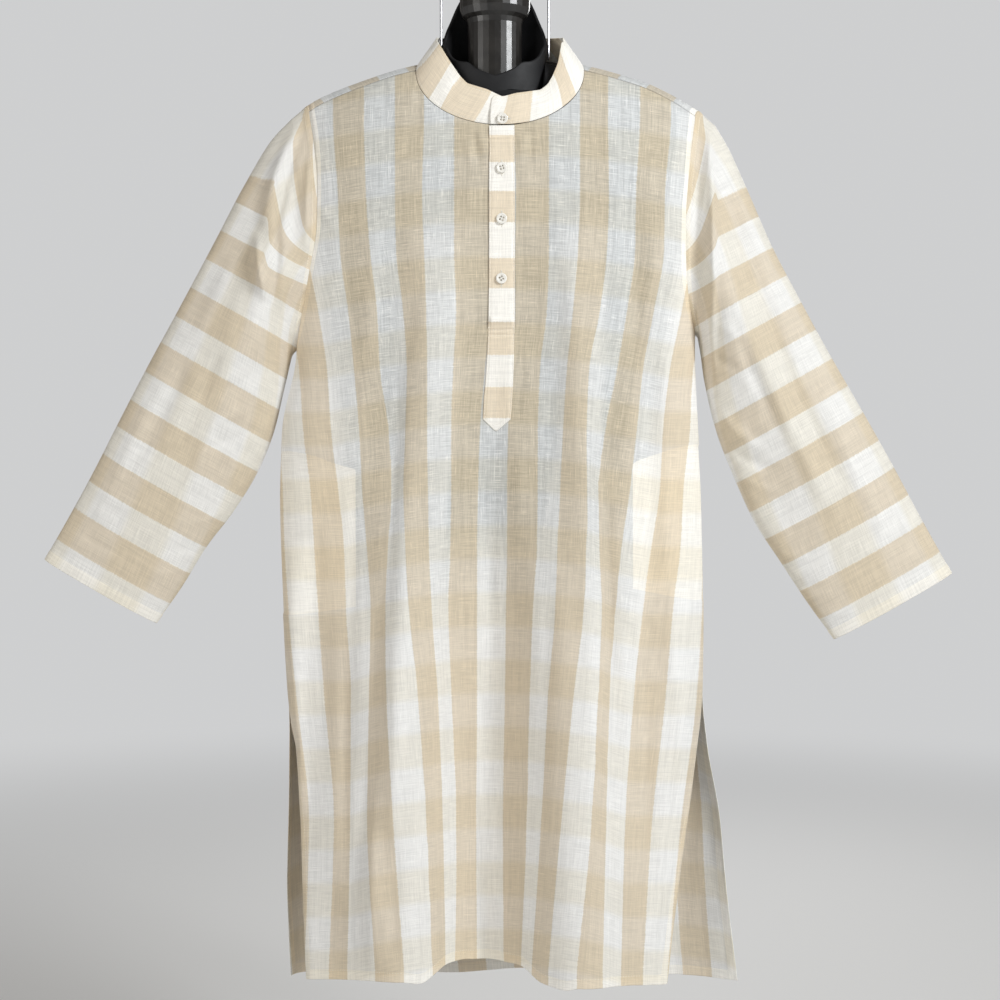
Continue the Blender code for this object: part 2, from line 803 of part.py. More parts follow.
def lens_solid(name, rings, home, finish):
    """A solid through rings that share their two end points between front and back."""
    count = rings.shape[1]
    last = FORM_COLUMNS
    faces = grid_faces(len(rings), count, closed=True)
    for base in (0, (len(rings) - 1) * count):
        for j in range(last):
            a = base + j
            b = base + j + 1
            c = base + (count - j - 1) % count
            d = base + (count - j) % count
            corners = []
            for corner in (a, b, c, d):
                if corner not in corners:
                    corners.append(corner)
            faces.append(tuple(corners))
    return add_object(name, mesh_from(name, rings.reshape(-1, 3), faces), home, finish)


def cup_ring(half_x, front_y_mm, back_y_mm):
    turn = np.linspace(0, 2 * math.pi, CUP_SIDES, endpoint=False)
    x = CUP_X + half_x * np.sin(turn)
    middle = (front_y_mm + back_y_mm) / 2
    y = middle - (back_y_mm - front_y_mm) / 2 * np.cos(turn)
    return turn, x, y


def torso_top(x, y):
    """Height of the torso form's surface under a point of the cup's wall."""
    deep = np.where(y < 0, FRONT_DEPTH, BACK_DEPTH) - WALL - SEAT
    high = np.where(y < 0, FRONT_ARCH, BACK_ARCH)
    lean = np.clip(np.abs(y) / deep, 0, 1)
    top = ridge(x) - WALL - SEAT - high * (1 - np.sqrt(1 - lean**2))
    floor = np.abs(x - CUP_X) < CUP_HALF_X - CUP_INSET - CUP_WALL
    return np.where(floor, FORM_FLOOR_Z, np.maximum(top, FORM_FLOOR_Z))


def form_neck(home, finish):
    """Neck cup of the form: a low front rim, a high back."""
    rows = []
    for inset in (0, CUP_WALL):
        turn, x, y = cup_ring(CUP_HALF_X - inset, CUP_FRONT_Y + inset, CUP_BACK_Y - inset)
        away = np.abs((turn / (2 * math.pi) + 0.5) % 1 - 0.5)
        rim = along(CUP_RIM, "turn", "z", away)
        foot = torso_top(x, y) + 3 * GAP
        if inset == 0:
            outer_foot = foot
        foot = np.maximum(foot, outer_foot)
        ring = [np.stack([x, y, foot + (rim - foot) * s], 1) for s in (0, 0.5, 1)]
        rows += ring if inset == 0 else ring[::-1]
    rows = np.array(rows)
    count = rows.shape[1]
    faces = grid_faces(len(rows), count, closed=True)
    last = (len(rows) - 1) * count
    for j in range(count):
        k = (j + 1) % count
        faces.append((last + j, last + k, k, j))
    return add_object("form_neck", mesh_from("form_neck", rows.reshape(-1, 3), faces), home, finish)


def neck_post(home, finish):
    """Turned post with a flared head, standing in the neck cup."""
    profile = [(0.0, POST_PROFILE["z"][0] + 2)]
    profile += list(zip(POST_PROFILE["r"], POST_PROFILE["z"]))
    profile.append((0.0, POST_PROFILE["z"][-1]))
    data = bpy.data.meshes.new("neck_post")
    points = [(r * MM, 0, z * MM) for r, z in profile]
    data.from_pydata(points, [(i, i + 1) for i in range(len(points) - 1)], [])
    made = add_object("neck_post", data, home, finish)
    made.location = (CUP_X * MM, POST_Y * MM, 0)
    made.scale = (1, POST_FLATTEN, 1)
    turned = made.modifiers.new("turn", "SCREW")
    turned.steps = 28
    turned.render_steps = 28
    turned.use_merge_vertices = True
    turned.merge_threshold = 0.00005
    return made


def wire_bail(home, finish):
    """Wire bail from both shoulders of the form, arched over the neck."""
    line = bpy.data.curves.new("wire_bail", "CURVE")
    line.dimensions = "3D"
    line.bevel_depth = WIRE_RADIUS * MM
    line.bevel_resolution = 2
    line.use_fill_caps = True
    feet = [ridge(CUP_X + side * BAIL_HALF) - WALL - SEAT + GAP + WIRE_SEAT for side in (-1, 1)]
    crown = -WIRE_RADIUS
    shoulder_z = crown - BAIL_HALF
    turn = np.linspace(math.pi, 0, ARCH_POINTS)
    arch = [(CUP_X + BAIL_HALF * math.cos(a), shoulder_z + BAIL_HALF * math.sin(a)) for a in turn]
    left = [(CUP_X - BAIL_HALF, z) for z in np.linspace(feet[0], shoulder_z, 4)[:-1]]
    right = [(CUP_X + BAIL_HALF, z) for z in np.linspace(shoulder_z, feet[1], 4)[1:]]
    path = left + arch + right
    spline = line.splines.new("POLY")
    spline.points.add(len(path) - 1)
    for point, (x, z) in zip(spline.points, path):
        point.co = (x * MM, BAIL_Y * MM, z * MM, 1)
    return add_object("wire_bail", line, home, finish)


def button(name, place, normal, home, finish):
    """Round button with eased edges, its back on the cloth."""
    bpy.ops.mesh.primitive_cylinder_add(
        vertices=BUTTON_SIDES,
        radius=BUTTON_RADIUS * MM,
        depth=BUTTON_THICK * MM,
    )
    made = bpy.context.object
    for collection in list(made.users_collection):
        collection.objects.unlink(made)
    home.objects.link(made)
    made.name = name
    made.data.name = name
    made.data.materials.append(finish)
    made.data.shade_smooth()
    eased = made.modifiers.new("edge", "BEVEL")
    eased.width = BUTTON_EDGE * MM
    eased.segments = 1
    tilt = math.atan2(normal[2], -normal[1])
    made.rotation_euler = (math.pi / 2 - tilt, 0, 0)
    centre = np.asarray(place) + np.asarray(normal) * (GAP + BUTTON_THICK / 2)
    made.location = tuple(centre * MM)
    return made


def main():
    for old in list(bpy.data.objects):
        bpy.data.objects.remove(old)
    home = bpy.data.collections.new("kurta_tunic")
    bpy.context.scene.collection.children.link(home)

    check = material("check_cloth", CLOTH_COLOUR, 0.85)
    plain = material("white_cloth", WHITE_CLOTH, 0.85)
    shell = material("button", BUTTON_COLOUR, 0.35)
    black = material("form_black", FORM_COLOUR, 0.45)
    gloss = material("post_black", FORM_COLOUR, 0.12)
    steel = material("wire", WIRE_COLOUR, 0.25, 1.0)

    front = front_grid()
    back = back_grid()
    slit = {(i, SHOULDER_COLUMNS + NECK_COLUMNS) for i in range(ARMHOLE_ROWS)}

    def forward(_):
        return np.array([0, -1, 0])

    def behind(_):
        return np.array([0, 1, 0])

    cloth("front_panel", front, WALL, home, check, forward, skip=slit)
    cloth("back_panel", back, WALL, home, check, behind)

    for name, side, sections, folds in (
        ("sleeve_left", -1, LEFT_SLEEVE, LEFT_SLEEVE_FOLDS),
        ("sleeve_right", 1, RIGHT_SLEEVE, RIGHT_SLEEVE_FOLDS),
    ):
        rings = sleeve_rings(armhole_loop(front, back, side), sections, folds, side)

        def off_axis(point, rings=rings):
            near = rings.mean(axis=1)
            nearest = near[np.argmin(np.linalg.norm(near - point, axis=1))]
            return point - nearest

        cloth(name, rings, WALL, home, check, off_axis, closed=True)

    collar = collar_grid(front, back)

    def off_neck(point):
        return np.array([point[0] - CUP_X, point[1] + 8, 0])

    cloth("collar", collar, COLLAR_WALL, home, check, off_neck)
    cloth("placket", placket_grid(front), PLACKET_WALL, home, check, forward)
    cloth("placket_under", under_placket_grid(front), WALL, home, check, forward)
    cloth("pocket_bag_left", pocket_grid(front, LEFT_POCKET), WALL, home, plain, forward)
    cloth("pocket_bag_right", pocket_grid(front, RIGHT_POCKET), WALL, home, plain, forward)

    for i, (x, z) in enumerate(zip(PLACKET_BUTTONS["x"], PLACKET_BUTTONS["z"])):
        x = np.array(x)
        z = np.array(z)
        place = on_front(front, x, z, GAP + PLACKET_LIFT + PLACKET_WALL)
        button(f"button_{i + 1}", place, normal_at(x, z), home, shell)
    over = collar[:, -3]
    share = (COLLAR_BUTTON_Z - over[0][2]) / (over[-1][2] - over[0][2])
    place = over[0] + (over[-1] - over[0]) * share
    rise = over[-1] - over[0]
    normal = np.array([0, -rise[2], rise[1]]) / math.hypot(rise[1], rise[2])
    place = np.array([CENTRE_X + COLLAR_BUTTON_SHIFT, place[1] - COLLAR_BOW, place[2]])
    button("button_collar", place, normal, home, shell)

    form_body(home, black)
    form_neck(home, black)
    neck_post(home, gloss)
    wire_bail(home, steel)
    for piece in home.objects:
        piece.location.x -= CUP_X * MM
        piece.location.y -= BAIL_Y * MM


main()
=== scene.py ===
# %% [markdown]
# # A checked kurta on a hanging torso form
# A kurta is a long, loose tunic with a band collar, a short buttoned placket, straight
# sleeves and open side slits. This one hangs on a black limbless torso form.
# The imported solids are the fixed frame. Each cell rebuilds one piece of cloth as a thin,
# dense sheet on the same surface, where creases, hems and stitching can be shown.

import math

import bmesh
import bpy
import numpy as np
from mathutils import Matrix, Vector
from mathutils.bvhtree import BVHTree


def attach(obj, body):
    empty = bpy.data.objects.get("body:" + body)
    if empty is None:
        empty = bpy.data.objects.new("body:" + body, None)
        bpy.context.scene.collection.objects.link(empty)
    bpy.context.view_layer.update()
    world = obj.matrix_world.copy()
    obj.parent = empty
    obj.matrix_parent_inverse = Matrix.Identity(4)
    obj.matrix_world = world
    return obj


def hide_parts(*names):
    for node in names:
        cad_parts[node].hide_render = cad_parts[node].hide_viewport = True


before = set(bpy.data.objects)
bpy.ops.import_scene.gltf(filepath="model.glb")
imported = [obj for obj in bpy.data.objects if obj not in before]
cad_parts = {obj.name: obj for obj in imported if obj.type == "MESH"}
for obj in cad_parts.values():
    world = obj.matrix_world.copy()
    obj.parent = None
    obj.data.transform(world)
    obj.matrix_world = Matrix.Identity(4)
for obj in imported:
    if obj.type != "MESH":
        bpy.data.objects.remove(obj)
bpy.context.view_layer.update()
MM = 0.001
print("solids in the frame:", len(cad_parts))

# %% [markdown]
# ## Camera
# A hanging garment is best seen square on, from the height of its waist, with little
# perspective. Pieces are laid out in the units of this view: 1000 across the frame, each
# 1.18 mm at the middle plane of the garment. in_frame turns points into such places.

# %% Camera and view units
SHIFT = np.array([6.0, 6.0, 0.0])
VIEW_UNIT = 1.18
EYE_DISTANCE = 1800.0
EYE_Z = -675.0


def in_frame(x, y, z):
    """Place in the frame, 0 to 1000 each way, of points in the garment's millimetres."""
    near = EYE_DISTANCE / (EYE_DISTANCE + y)
    return 500 + x * near / VIEW_UNIT, 500 - (z - EYE_Z) * near / VIEW_UNIT


lens = bpy.data.cameras.new("camera")
lens.sensor_width = 36.0
lens.lens = 36.0 / 2 / (500 * VIEW_UNIT / EYE_DISTANCE)
lens.clip_start = 0.01
lens.clip_end = 100
camera = bpy.data.objects.new("camera", lens)
camera.location = (SHIFT[0] * MM, (SHIFT[1] - EYE_DISTANCE) * MM, EYE_Z * MM)
camera.rotation_euler = (math.pi / 2, 0, 0)
bpy.context.scene.collection.objects.link(camera)
bpy.context.scene.camera = camera
print("lens", round(lens.lens, 2), "mm")

# %% [markdown]
# ## Helpers for shader nodes
# Light, floor and finishes are trees of nodes. These short functions add one node and
# link or set its inputs, so that each tree reads from top to bottom.

# %% Node helpers


def node(tree, kind, inputs=(), **settings):
    """A node with its settings made and its inputs set or linked."""
    made = tree.nodes.new(kind)
    for key, value in settings.items():
        setattr(made, key, value)
    for key, value in dict(inputs).items():
        if isinstance(value, bpy.types.NodeSocket):
            tree.links.new(value, made.inputs[key])
        else:
            made.inputs[key].default_value = value
    return made


def maths(tree, operation, a, b=0.5, c=0.5):
    return node(tree, "ShaderNodeMath", {0: a, 1: b, 2: c}, operation=operation).outputs[0]


def vector_maths(tree, operation, a, b):
    return node(tree, "ShaderNodeVectorMath", {0: a, 1: b}, operation=operation).outputs[0]


def soft_step(tree, value, low, high):
    inputs = {"Value": value, "From Min": low, "From Max": high}
    made = node(tree, "ShaderNodeMapRange", inputs, interpolation_type="SMOOTHSTEP")
    return made.outputs["Result"]


def blend_colour(tree, factor, a, b, mode="MIX"):
    made = node(tree, "ShaderNodeMix", data_type="RGBA", blend_type=mode)
    for key, value in ((0, factor), (6, a), (7, b)):
        if isinstance(value, bpy.types.NodeSocket):
            tree.links.new(value, made.inputs[key])
        else:
            made.inputs[key].default_value = value
    return made.outputs[2]


def group(name, inputs, outputs):
    """A node group, with the nodes that hold its inputs and its outputs."""
    tree = bpy.data.node_groups.new(name, "ShaderNodeTree")
    for label, kind, value in inputs:
        socket = tree.interface.new_socket(label, in_out="INPUT", socket_type=kind)
        if value is not None:
            socket.default_value = value
    for label, kind in outputs:
        tree.interface.new_socket(label, in_out="OUTPUT", socket_type=kind)
    return tree, tree.nodes.new("NodeGroupInput"), tree.nodes.new("NodeGroupOutput")

# %% [markdown]
# ## Light and floor
# Thin cloth shows its folds only when light comes a little from one side. A large soft
# light stands high on the right, a weaker one on the left keeps the shaded flanks open,
# and a pale floor and a pale surround fill from below.

# %% Studio light and floor


def soft_light(name, place, aim, size, watts, colour=(1, 1, 1)):
    """A square area light at a place in metres, turned to its aim."""
    data = bpy.data.lights.new(name, "AREA")
    data.shape = "SQUARE"
    data.size = size
    data.energy = watts
    data.color = colour
    lamp = bpy.data.objects.new(name, data)
    lamp.location = place
    lamp.rotation_euler = (Vector(aim) - Vector(place)).to_track_quat("-Z", "Y").to_euler()
    bpy.context.scene.collection.objects.link(lamp)


middle = (0, 0, -0.62)
bpy.context.scene.view_settings.view_transform = "Standard"
soft_light("key", (2.2, -2.1, 1.0), middle, 0.9, 94, (0.955, 0.98, 1.0))
soft_light("fill", (-2.3, -2.3, 0.0), middle, 1.6, 31, (1.0, 0.985, 0.955))
soft_light("back_light", (0.6, 2.8, 0.8), middle, 1.6, 48)

BACKDROP = (0.62, 0.625, 0.63, 1)
world = bpy.data.worlds.new("surround")
bpy.context.scene.world = world
world.use_nodes = True
sky = world.node_tree
glow = sky.nodes["Background"]
glow.inputs["Color"].default_value = (1.0, 0.955, 0.885, 1)
glow.inputs["Strength"].default_value = 0.16
seen = node(sky, "ShaderNodeBackground", {"Color": BACKDROP}).outputs[0]
ray = node(sky, "ShaderNodeLightPath").outputs["Is Camera Ray"]
by_ray = node(sky, "ShaderNodeMixShader", {0: ray, 1: glow.outputs[0], 2: seen})
sky.links.new(by_ray.outputs[0], sky.nodes["World Output"].inputs["Surface"])

bpy.ops.mesh.primitive_plane_add(size=60, location=(0, 0, -1.62))
floor = bpy.context.object
floor.name = "floor"
pale = bpy.data.materials.new("floor_pale")
pale.use_nodes = True
ground = pale.node_tree
paint = ground.nodes["Principled BSDF"]
paint.inputs["Base Color"].default_value = (0.74, 0.74, 0.735, 1)
paint.inputs["Roughness"].default_value = 0.9
place = node(ground, "ShaderNodeNewGeometry").outputs["Position"]
away = node(ground, "ShaderNodeVectorMath", {0: place}, operation="LENGTH").outputs["Value"]
fade = soft_step(ground, away, 1.5, 5.0)  # metres from the origin where the floor turns to haze
haze = node(ground, "ShaderNodeEmission", {"Color": BACKDROP}).outputs[0]
mixed = node(ground, "ShaderNodeMixShader", {0: fade, 1: paint.outputs[0], 2: haze})
ground.links.new(mixed.outputs[0], ground.nodes["Material Output"].inputs["Surface"])
floor.data.materials.append(pale)
print("lights and floor set")

# %% [markdown]
# ## The garment's own measures
# These are the same named sizes and short tables that the solids are made from, in
# millimetres. A smooth curve is led through each table, so a few rows are enough.

# %% Sizes
# Cloth
WALL = 1.2
GAP = 0.3
SIDE_SEAM = 0.8
SHOULDER_SEAM = 0.35
SEAM_DROP = 12.0
PLACKET_LIFT = 0.2

# Body surface of the worn kurta
FRONT_DEPTH = 62.0
BACK_DEPTH = 60.0
FRONT_ARCH = 140.0
BACK_ARCH = 92.0
SIDE_POWER = 3.2
SIDE_ROOT = 2.2
BACK_UNROLL = 60.0
EDGE_HOLD = 1.6
HEM_LEVEL = -1250.0
COLUMN_EASE = 2.2
SLEEVE_BOW = 0.8

# Neck
NECK_POINT_X = 98.0
NECK_FRONT_Z = -247.0
NECK_BACK_Y = 41.0
NECK_CURVE = 0.95
CENTRE_X = 2.0
SLIT_WIDTH = 2.0

# Collar stand
COLLAR_TOP_X = 74.0
COLLAR_TOP_SIDE_Z = -134.0
COLLAR_TOP_FRONT_Z = -215.0
COLLAR_TOP_BACK_Z = -120.0
COLLAR_TOP_FRONT_Y = -57.0
COLLAR_TOP_SIDE_Y = -16.0
COLLAR_TOP_BACK_Y = 37.0
COLLAR_SEAT = 0.45
UNDER_END_X = 14.0
OVER_END_X = -11.0
END_LAP = 2.1
LAP_REACH = 40.0
COLLAR_BOW = 2.0
UNDER_LIFT = 0.9

# %% Tables


def table(columns, *rows):
    """A table as a dictionary of its named columns."""
    return dict(zip(columns.split(), np.array(rows, float).T))


# Top of the shoulders, seen from the front
RIDGE = table(
    "x z",
    (-246, -224), (-232, -213), (-217, -204), (-163, -182), (-112, -166), (-60, -156),
    (0, -151), (60, -156), (112, -166), (138, -173), (168, -182), (197, -195), (222, -209),
    (244, -222), (256, -231),
)

# Where front and back meet at the sides: widest line of the body, then the panels' own edges
# below the slits. depth is the share of the full depth that an open edge stands off the middle.
SEWN_SIDES = (
    (-150, -246, 250, 0, 0), (-350, -243, 240, 0, 0), (-498, -240, 230, 0, 0),
    (-594, -257, 234, 0, 0), (-675, -260, 238, 0, 0), (-793, -256, 240, 0, 0),
)
FRONT_EDGE = table(
    "z left right left_depth right_depth",
    *SEWN_SIDES,
    (-887, -251, 239, 0, 0), (-930, -247, 236, 0, 0.06), (-960, -240, 230, 0.1, 0.25),
    (-1040, -233, 216, 0.4, 0.55), (-1140, -229, 201, 0.55, 0.8), (-1250, -224, 187, 0.6, 0.95),
)
BACK_EDGE = table(
    "z left right left_depth right_depth",
    *SEWN_SIDES,
    (-887, -251, 240, 0, 0), (-960, -249, 248, 0, 0.2), (-1040, -251, 264, 0.15, 0.5),
    (-1140, -254, 275, 0.25, 0.7), (-1250, -250, 289, 0.3, 0.8),
)

# Armhole seams from the shoulder seam (share 0) to the armpit (share 1)
FRONT_ARMHOLE = table(
    "share left right",
    (0, -224, 229), (0.15, -216, 223), (0.33, -211, 218), (0.5, -212, 215), (0.7, -222, 216),
    (0.88, -232, 221), (1, -240, 230),
)
BACK_ARMHOLE = table(
    "share left right",
    (0, -224, 229), (0.12, -229, 237), (0.3, -221, 227), (0.5, -214, 219), (0.75, -219, 218),
    (1, -240, 230),
)
ARMPIT_Z = table("left right", (-498, -479))

# Folds of the skirt: a soft trough (depth over 0) or ridge (under 0) that starts at start and
# is full at full, its middle drifting from x_top to x_hem. half is its half width.
FRONT_FOLDS = table(
    "x_top x_hem half depth start full",
    (-200, -212, 42, 9, -600, -900), (-112, -112, 46, -24, -560, -900),
    (-14, -22, 44, 46, -560, -960), (84, 92, 52, -34, -560, -960),
    (190, 165, 34, -8, -620, -1000),
)
BACK_FOLDS = table(
    "x_top x_hem half depth start full",
    (-150, -165, 44, -11, -520, -900), (-60, -62, 38, 12, -480, -860),
    (30, 36, 42, -12, -520, -900), (120, 140, 42, 11, -520, -900),
    (200, 225, 40, -9, -560, -1000),
)
HEM = table(
    "x front back",
    (-240, -1218, -1243), (-120, -1220, -1246), (-20, -1214, -1248), (90, -1226, -1250),
    (190, -1228, -1254), (290, -1228, -1258),
)

# Sleeves, section by section: outer is the fold over the arm, inner the underarm seam.
# fore and aft are how far the wall stands off the section's middle.
LEFT_SLEEVE = table(
    "outer_x outer_z inner_x inner_z fore aft",
    (-246, -226, -243, -501, 40, 34), (-269, -250, -246, -507, 43, 36),
    (-303, -306, -249, -520, 42, 36), (-340, -377, -256, -550, 40, 34),
    (-377, -447, -266, -592, 37, 31), (-413, -513, -285, -640, 34, 28),
    (-449, -582, -314, -688, 30, 25), (-480, -643, -346, -730, 26, 22),
    (-509, -696, -375, -777, 21, 18), (-537, -745, -405, -820, 16, 14),
)
RIGHT_SLEEVE = table(
    "outer_x outer_z inner_x inner_z fore aft",
    (254, -234, 234, -484, 40, 34), (269, -259, 237, -503, 43, 36),
    (291, -307, 240, -527, 42, 36), (322, -378, 246, -558, 40, 34),
    (352, -436, 256, -596, 37, 31), (388, -502, 277, -650, 34, 28),
    (425, -566, 301, -702, 30, 25), (460, -628, 331, -748, 26, 22),
    (497, -697, 362, -795, 21, 18), (533, -761, 394, -839, 16, 14),
)
# Drag folds of the sleeves: from section start to section end, at a share of the way round
# from the underarm (0) over the front (0.25) and the outer fold (0.5) to the back (0.75).
LEFT_SLEEVE_FOLDS = table(
    "start end turn half depth",
    (0, 4.5, 0.36, 0.07, 7), (0.6, 5, 0.24, 0.06, -8), (3, 8, 0.17, 0.06, 5),
    (1, 6, 0.7, 0.08, -6),
)
RIGHT_SLEEVE_FOLDS = table(
    "start end turn half depth",
    (0, 4, 0.34, 0.08, 8), (0.6, 5, 0.23, 0.06, -9), (3, 8, 0.15, 0.06, 5),
    (1, 6, 0.7, 0.08, -6),
)

PLACKET = table(
    "z left right",
    (-251.5, -12.5, 16.5), (-320, -12.5, 16.7), (-400, -12.6, 16.8), (-480, -13.6, 16.5),
    (-530, -16, 15.3), (-568, -18.8, 13.7), (-583, -19.4, 12.3),
)
PLACKET_TIP = table("x z", (-4.6, -597.5))
PLACKET_UNDER = table("z left right", (-255, -9, 13), (-470, -10, 13))

# Pocket bags hang inside the front from the side seams
LEFT_POCKET = table(
    "x top bottom",
    (-245, -618, -808), (-215, -624, -805), (-190, -633, -801), (-165, -640, -797),
)
RIGHT_POCKET = table(
    "x top bottom",
    (152, -632, -776), (175, -624, -781), (200, -616, -786), (227, -610, -791),
)
PLACKET_BUTTONS = table("x z", (2.0, -297), (2.0, -355), (1.6, -423))
COLLAR_BUTTON_Z = -240.5
COLLAR_BUTTON_SHIFT = 0.8

# Outline and depth of the torso form
FORM = table(
    "z half_left half_right fore aft",
    (-150, 216, 226, 61.5, 58), (-215, 215, 225, 61.5, 58), (-250, 214, 222, 59.5, 58),
    (-300, 206, 210, 59, 57), (-400, 196, 192, 58.5, 55), (-500, 180, 176, 56, 50),
    (-600, 164, 160, 48, 44), (-700, 158, 154, 40, 38), (-740, 154, 150, 34, 32),
    (-765, 142, 138, 24, 22),
)

# %% [markdown]
# ## Surfaces of the body
# The front is a height field: a flattened barrel under an arched shoulder line, with soft
# folds added below the chest. The back is unrolled from the shoulder seam, over the ridge
# and down, so that its rows run evenly across the top of the shoulders.

# %% Curves through the tables


def slopes(xs, ys):
    """Monotone cubic slopes, so that a curve through a table never overshoots its rows."""
    step = np.diff(xs)
    rise = np.diff(ys) / step
    out = np.zeros(len(xs))
    same = rise[:-1] * rise[1:] > 0
    wa = 2 * step[1:] + step[:-1]
    wb = step[1:] + 2 * step[:-1]
    safe_a = np.where(same, rise[:-1], 1.0)
    safe_b = np.where(same, rise[1:], 1.0)
    out[1:-1] = np.where(same, (wa + wb) / (wa / safe_a + wb / safe_b), 0.0)
    out[0] = rise[0]
    out[-1] = rise[-1]
    return out


def along(rows, key, value, x):
    """Column value of a table at x in its column key, by a smooth curve through the rows."""
    order = np.argsort(rows[key])
    xs = rows[key][order]
    ys = rows[value][order]
    m = slopes(xs, ys)
    x = np.clip(np.asarray(x, float), xs[0], xs[-1])
    i = np.clip(np.searchsorted(xs, x) - 1, 0, len(xs) - 2)
    h = xs[i + 1] - xs[i]
    t = (x - xs[i]) / h
    return (
        (1 + 2 * t) * (1 - t) ** 2 * ys[i]
        + t * (1 - t) ** 2 * h * m[i]
        + t * t * (3 - 2 * t) * ys[i + 1]
        + t * t * (t - 1) * h * m[i + 1]
    )


def ease(t):
    """0 to 1 as t goes from 0 to 1, slow at both ends and held beyond them."""
    t = np.clip(t, 0, 1)
    return t * t * (3 - 2 * t)

# %% The worn surface


def ridge(x):
    """Height of the shoulders at x."""
    return along(RIDGE, "x", "z", x)


def side_share(x, z, edges):
    """Share of the full depth at x, from 1 in the middle to the edge's own share at the side."""
    left = along(edges, "z", "left", z)
    right = along(edges, "z", "right", z)
    middle = (left + right) / 2
    across = np.clip(2 * (x - middle) / (right - left), -1, 1)
    round_off = (1 - np.abs(across) ** SIDE_POWER) ** (1 / SIDE_ROOT)
    open_left = along(edges, "z", "left_depth", z)
    open_right = along(edges, "z", "right_depth", z)
    open_edge = np.where(across < 0, open_left, open_right)
    return open_edge + (1 - open_edge) * round_off


def fold_depth(x, z, folds):
    """Sum of the folds at x and z, over 0 towards the inside."""
    total = 0.0
    for top, hem, half, depth, start, full in zip(*folds.values()):
        grown = ease((start - z) / (start - full))
        middle = top + (hem - top) * np.clip((start - z) / (start - HEM_LEVEL), 0, 1)
        total = total + depth * grown * np.exp(-(((x - middle) / half) ** 2))
    return total


def front_y(x, z):
    """Depth of the front's outer face."""
    drop = np.clip((ridge(x) - z) / FRONT_ARCH, 0, 1)
    arch = np.sqrt(1 - (1 - drop) ** 2)
    share = side_share(x, z, FRONT_EDGE)
    hold = np.clip(share * EDGE_HOLD, 0, 1)
    return -SIDE_SEAM - FRONT_DEPTH * share * arch + hold * fold_depth(x, z, FRONT_FOLDS)


def back_point(x, way):
    """Point of the back's outer face. way is 0 on the shoulder ridge, under 0 in front of it."""
    top = ridge(x)
    turn = np.clip(way / BACK_UNROLL, -math.pi / 2, math.pi / 2)
    below = np.clip(way - BACK_UNROLL * math.pi / 2, 0, None)
    deep = np.where(turn < 0, FRONT_DEPTH, BACK_DEPTH)
    high = np.where(turn < 0, FRONT_ARCH, BACK_ARCH)
    z = top - high * (1 - np.cos(turn)) - below
    share = side_share(x, z, BACK_EDGE)
    fold = np.clip(share * EDGE_HOLD, 0, 1) * fold_depth(x, z, BACK_FOLDS)
    y = deep * share * np.sin(turn) - np.where(turn > 0, fold, 0)
    return x, y + SIDE_SEAM * np.sin(turn), z


def way_of(x, y):
    """The back's way coordinate of a point at x and y near the shoulder."""
    z = ridge(x) - 10
    deep = np.where(y < 0, FRONT_DEPTH, BACK_DEPTH) * side_share(x, z, BACK_EDGE)
    return BACK_UNROLL * np.arcsin(np.clip(y / deep, -1, 1))


def way_down(x, z):
    """The back's way coordinate at height z below the arch."""
    return BACK_UNROLL * math.pi / 2 + ridge(x) - BACK_ARCH - z

print("shoulder height at the neck point", round(float(ridge(NECK_POINT_X)), 1))

# %% [markdown]
# ## Columns and top edges
# Columns crowd together in the turned edges at the sides. The top edge of each panel runs
# along the shoulder seam, round the neckline and along the other shoulder seam.

# %% Columns and top edges


def side_crowded(count, outer=0.026, columns=12):
    """Shares from 0 to 1 with close columns in the outer hems of both sides."""
    edge = np.linspace(0, outer, columns + 1)
    inner = np.linspace(outer, 1 - outer, count - 2 * columns)
    return np.concatenate([edge[:-1], inner, 1 - edge[:-1][::-1]])


def spread(top_x, left, right, share):
    """Column positions: those of the top edge, spread evenly across as share grows to 1."""
    near = np.where(
        top_x < CENTRE_X,
        CENTRE_X + (top_x - CENTRE_X) * (CENTRE_X - left) / (CENTRE_X - top_x[0]),
        CENTRE_X + (top_x - CENTRE_X) * (right - CENTRE_X) / (top_x[-1] - CENTRE_X),
    )
    even = left + (right - left) * side_crowded(len(top_x))
    return near + (even - near) * share


def armpit_line(x):
    """Height of the line from armpit to armpit."""
    return np.interp(x, [x[0], x[-1]], [ARMPIT_Z["left"][0], ARMPIT_Z["right"][0]])


def front_top():
    """x and z of the front's top edge: shoulder seam, neckline, shoulder seam."""
    left = np.linspace(FRONT_ARMHOLE["left"][0], -NECK_POINT_X, SHOULDER_COLUMNS + 1)
    right = np.linspace(NECK_POINT_X, FRONT_ARMHOLE["right"][0], SHOULDER_COLUMNS + 1)
    turn = np.linspace(-math.pi / 2, 0, NECK_COLUMNS + 1)
    neck_left = CENTRE_X - SLIT_WIDTH / 2
    neck_left = neck_left + (neck_left + NECK_POINT_X) * np.sin(turn)
    neck_right = CENTRE_X + SLIT_WIDTH / 2
    neck_right = neck_right - (NECK_POINT_X - neck_right) * np.sin(turn[::-1])
    x = np.concatenate([left[:-1], neck_left, neck_right, right[1:]])
    seam_z = ridge(x) - SEAM_DROP - SHOULDER_SEAM
    point_z = ridge(NECK_POINT_X) - SEAM_DROP - SHOULDER_SEAM
    dip = (NECK_FRONT_Z - point_z) * np.cos(turn) ** NECK_CURVE
    start = SHOULDER_COLUMNS
    z = seam_z.copy()
    z[start : start + NECK_COLUMNS + 1] = seam_z[start] + dip
    z[start + NECK_COLUMNS + 1 : start + 2 * NECK_COLUMNS + 2] = seam_z[-start - 1] + dip[::-1]
    return x, z


